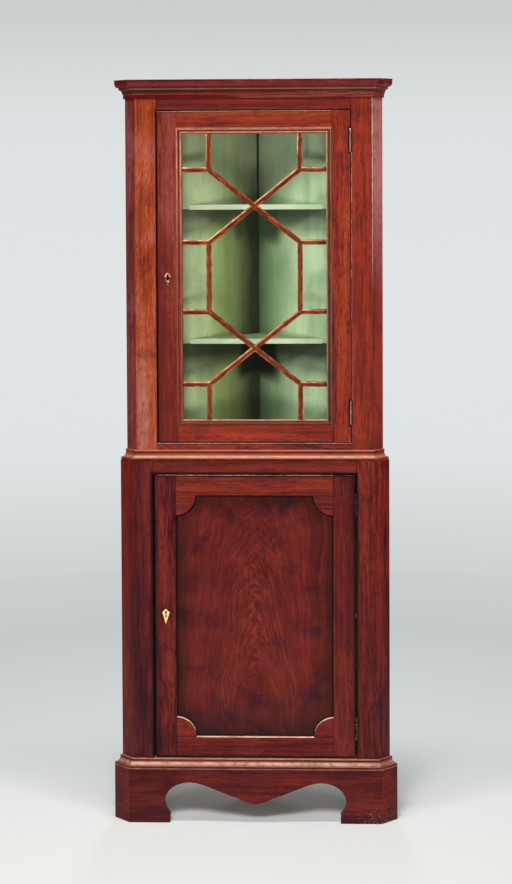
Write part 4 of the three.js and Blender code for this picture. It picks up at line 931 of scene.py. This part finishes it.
def floorPaper(name):
    # seamless background paper: matt, smooth and pale, lit round the cupboard; behind it and out towards the
    # rim it shows a painted glow to the camera, in mirrors and through glass, dimmer towards its rim
    material, add, place = newMaterial(name)
    depth = add("SeparateXYZ", {0: place}).outputs["Y"]
    near = joined(add, "MULTIPLY", [(depth, *studio["fromFront"], 1.0)])
    floorTone = add("ValToRGB", {"Fac": near, "stops": studio["floor"]})
    paper = add("BsdfPrincipled", {"Base Color": floorTone, "Roughness": 0.9, "Specular IOR Level": 0.1})
    reach = add("VectorMath", {"operation": "LENGTH", 0: place})
    outward = joined(add, "MULTIPLY", [(reach, 0.0, studio["radius"], 1.0)])
    farTone = add("ValToRGB", {"Fac": outward, "stops": studio["far"]})
    shown = add("Emission", {"Color": farTone, "Strength": 1.0})
    rays = add("LightPath").outputs
    seen = [rays["Is Camera Ray"], rays["Is Glossy Ray"], rays["Is Transmission Ray"]]
    far = joined(add, "MAXIMUM", [(depth, *studio["shownFrom"], 1.0, *smooth),
                                  (reach, *studio["rimFrom"], 1.0, *smooth)])
    share = joined(add, "MULTIPLY", [joined(add, "MAXIMUM", seen), far])
    add("OutputMaterial", {"Surface": add("MixShader", {0: share, 1: paper, 2: shown})})
    return material


floorShape = bmesh.new()
bmesh.ops.create_circle(floorShape, cap_ends=True, radius=studio["radius"], segments=studio["sides"])
paperFloor = newPiece("paperFloor", floorShape, [floorPaper("backgroundPaper")])

lamps = [
    # name, place, size, power, aimed at, seen in reflections
    ("keyBank", (-0.45, -4.2, 4.25), (2.0, 1.3), 244, (0, -0.1, 1.0), False),
    ("topBank", (0.0, -0.9, 4.2), (1.8, 0.5), 72, (0, -0.3, 0.8), True),
    ("leftStrip", (-2.4, -2.6, 1.5), (0.25, 1.8), 15, (0, -0.1, 1.0), True),
    ("rightStrip", (2.6, -2.6, 1.5), (0.25, 1.8), 18, (0, -0.1, 1.0), True),
    ("frontFill", (0.3, -6.4, 0.55), (2.0, 0.8), 200, (0, 0, 1.1), False),
    ("backBank", (0.0, 2.6, 1.5), (0.5, 0.4), 20, (0, 0.2, 0.1), False),
]
for name, place, size, power, aim, mirrored in lamps:
    lamp = bpy.data.lights.new(name, "AREA")
    lamp.shape = "RECTANGLE"
    lamp.size, lamp.size_y = size
    lamp.energy = power
    light = bpy.data.objects.new(name, lamp)
    light.location = place
    light.rotation_euler = (Vector(aim) - Vector(place)).to_track_quat("-Z", "Y").to_euler()
    light.visible_glossy = mirrored
    light.visible_camera = False
    bpy.context.scene.collection.objects.link(light)

world = bpy.data.worlds.new("studioWorld")
world.use_nodes = True
world.node_tree.nodes.clear()
add = partial(addNode, world.node_tree)
# a plain dim room for the light, and the lit backdrop for what looks straight at it
dimColour, dimStrength = studio["dimLight"]
dim = add("Background", {"Color": linear(dimColour), "Strength": dimStrength})
heading = add("SeparateXYZ", {0: add("TexCoord").outputs["Generated"]}).outputs["Z"]
level = joined(add, "MULTIPLY", [(heading, *studio["fallOff"], 1.0)])
backdrop = add("ValToRGB", {"Fac": level, "stops": studio["backdrop"]})
lit = add("Background", {"Color": backdrop, "Strength": 1.0})
rays = add("LightPath").outputs
seen = joined(add, "MAXIMUM", [rays["Is Camera Ray"], rays["Is Transmission Ray"]])
add("OutputWorld", {"Surface": add("MixShader", {0: seen, 1: dim, 2: lit})})
bpy.context.scene.world = world

# Camera: a view camera at about head height, film nearly upright, lens dropped to take in the feet
view = {"place": (0.1876, -5.2005, 1.7435), "yaw": 2.058, "pitch": -2.117, "roll": -0.256, "lens": 76.011,
        "film": 36, "drop": -0.22, "range": (0.1, 60)}
cameraData = bpy.data.cameras.new("viewCamera")
cameraData.sensor_width = view["film"]
cameraData.lens = view["lens"]
cameraData.shift_y = view["drop"]
cameraData.clip_start, cameraData.clip_end = view["range"]
camera = bpy.data.objects.new("viewCamera", cameraData)
turns = [Matrix.Rotation(math.radians(angle), 4, axis)
         for angle, axis in ((view["yaw"], "Z"), (90 + view["pitch"], "X"), (view["roll"], "Z"))]
camera.matrix_world = Matrix.Translation(view["place"]) @ turns[0] @ turns[1] @ turns[2]
bpy.context.scene.collection.objects.link(camera)
bpy.context.scene.camera = camera
bpy.context.scene.view_settings.view_transform = "Standard"
print("studio and camera set")
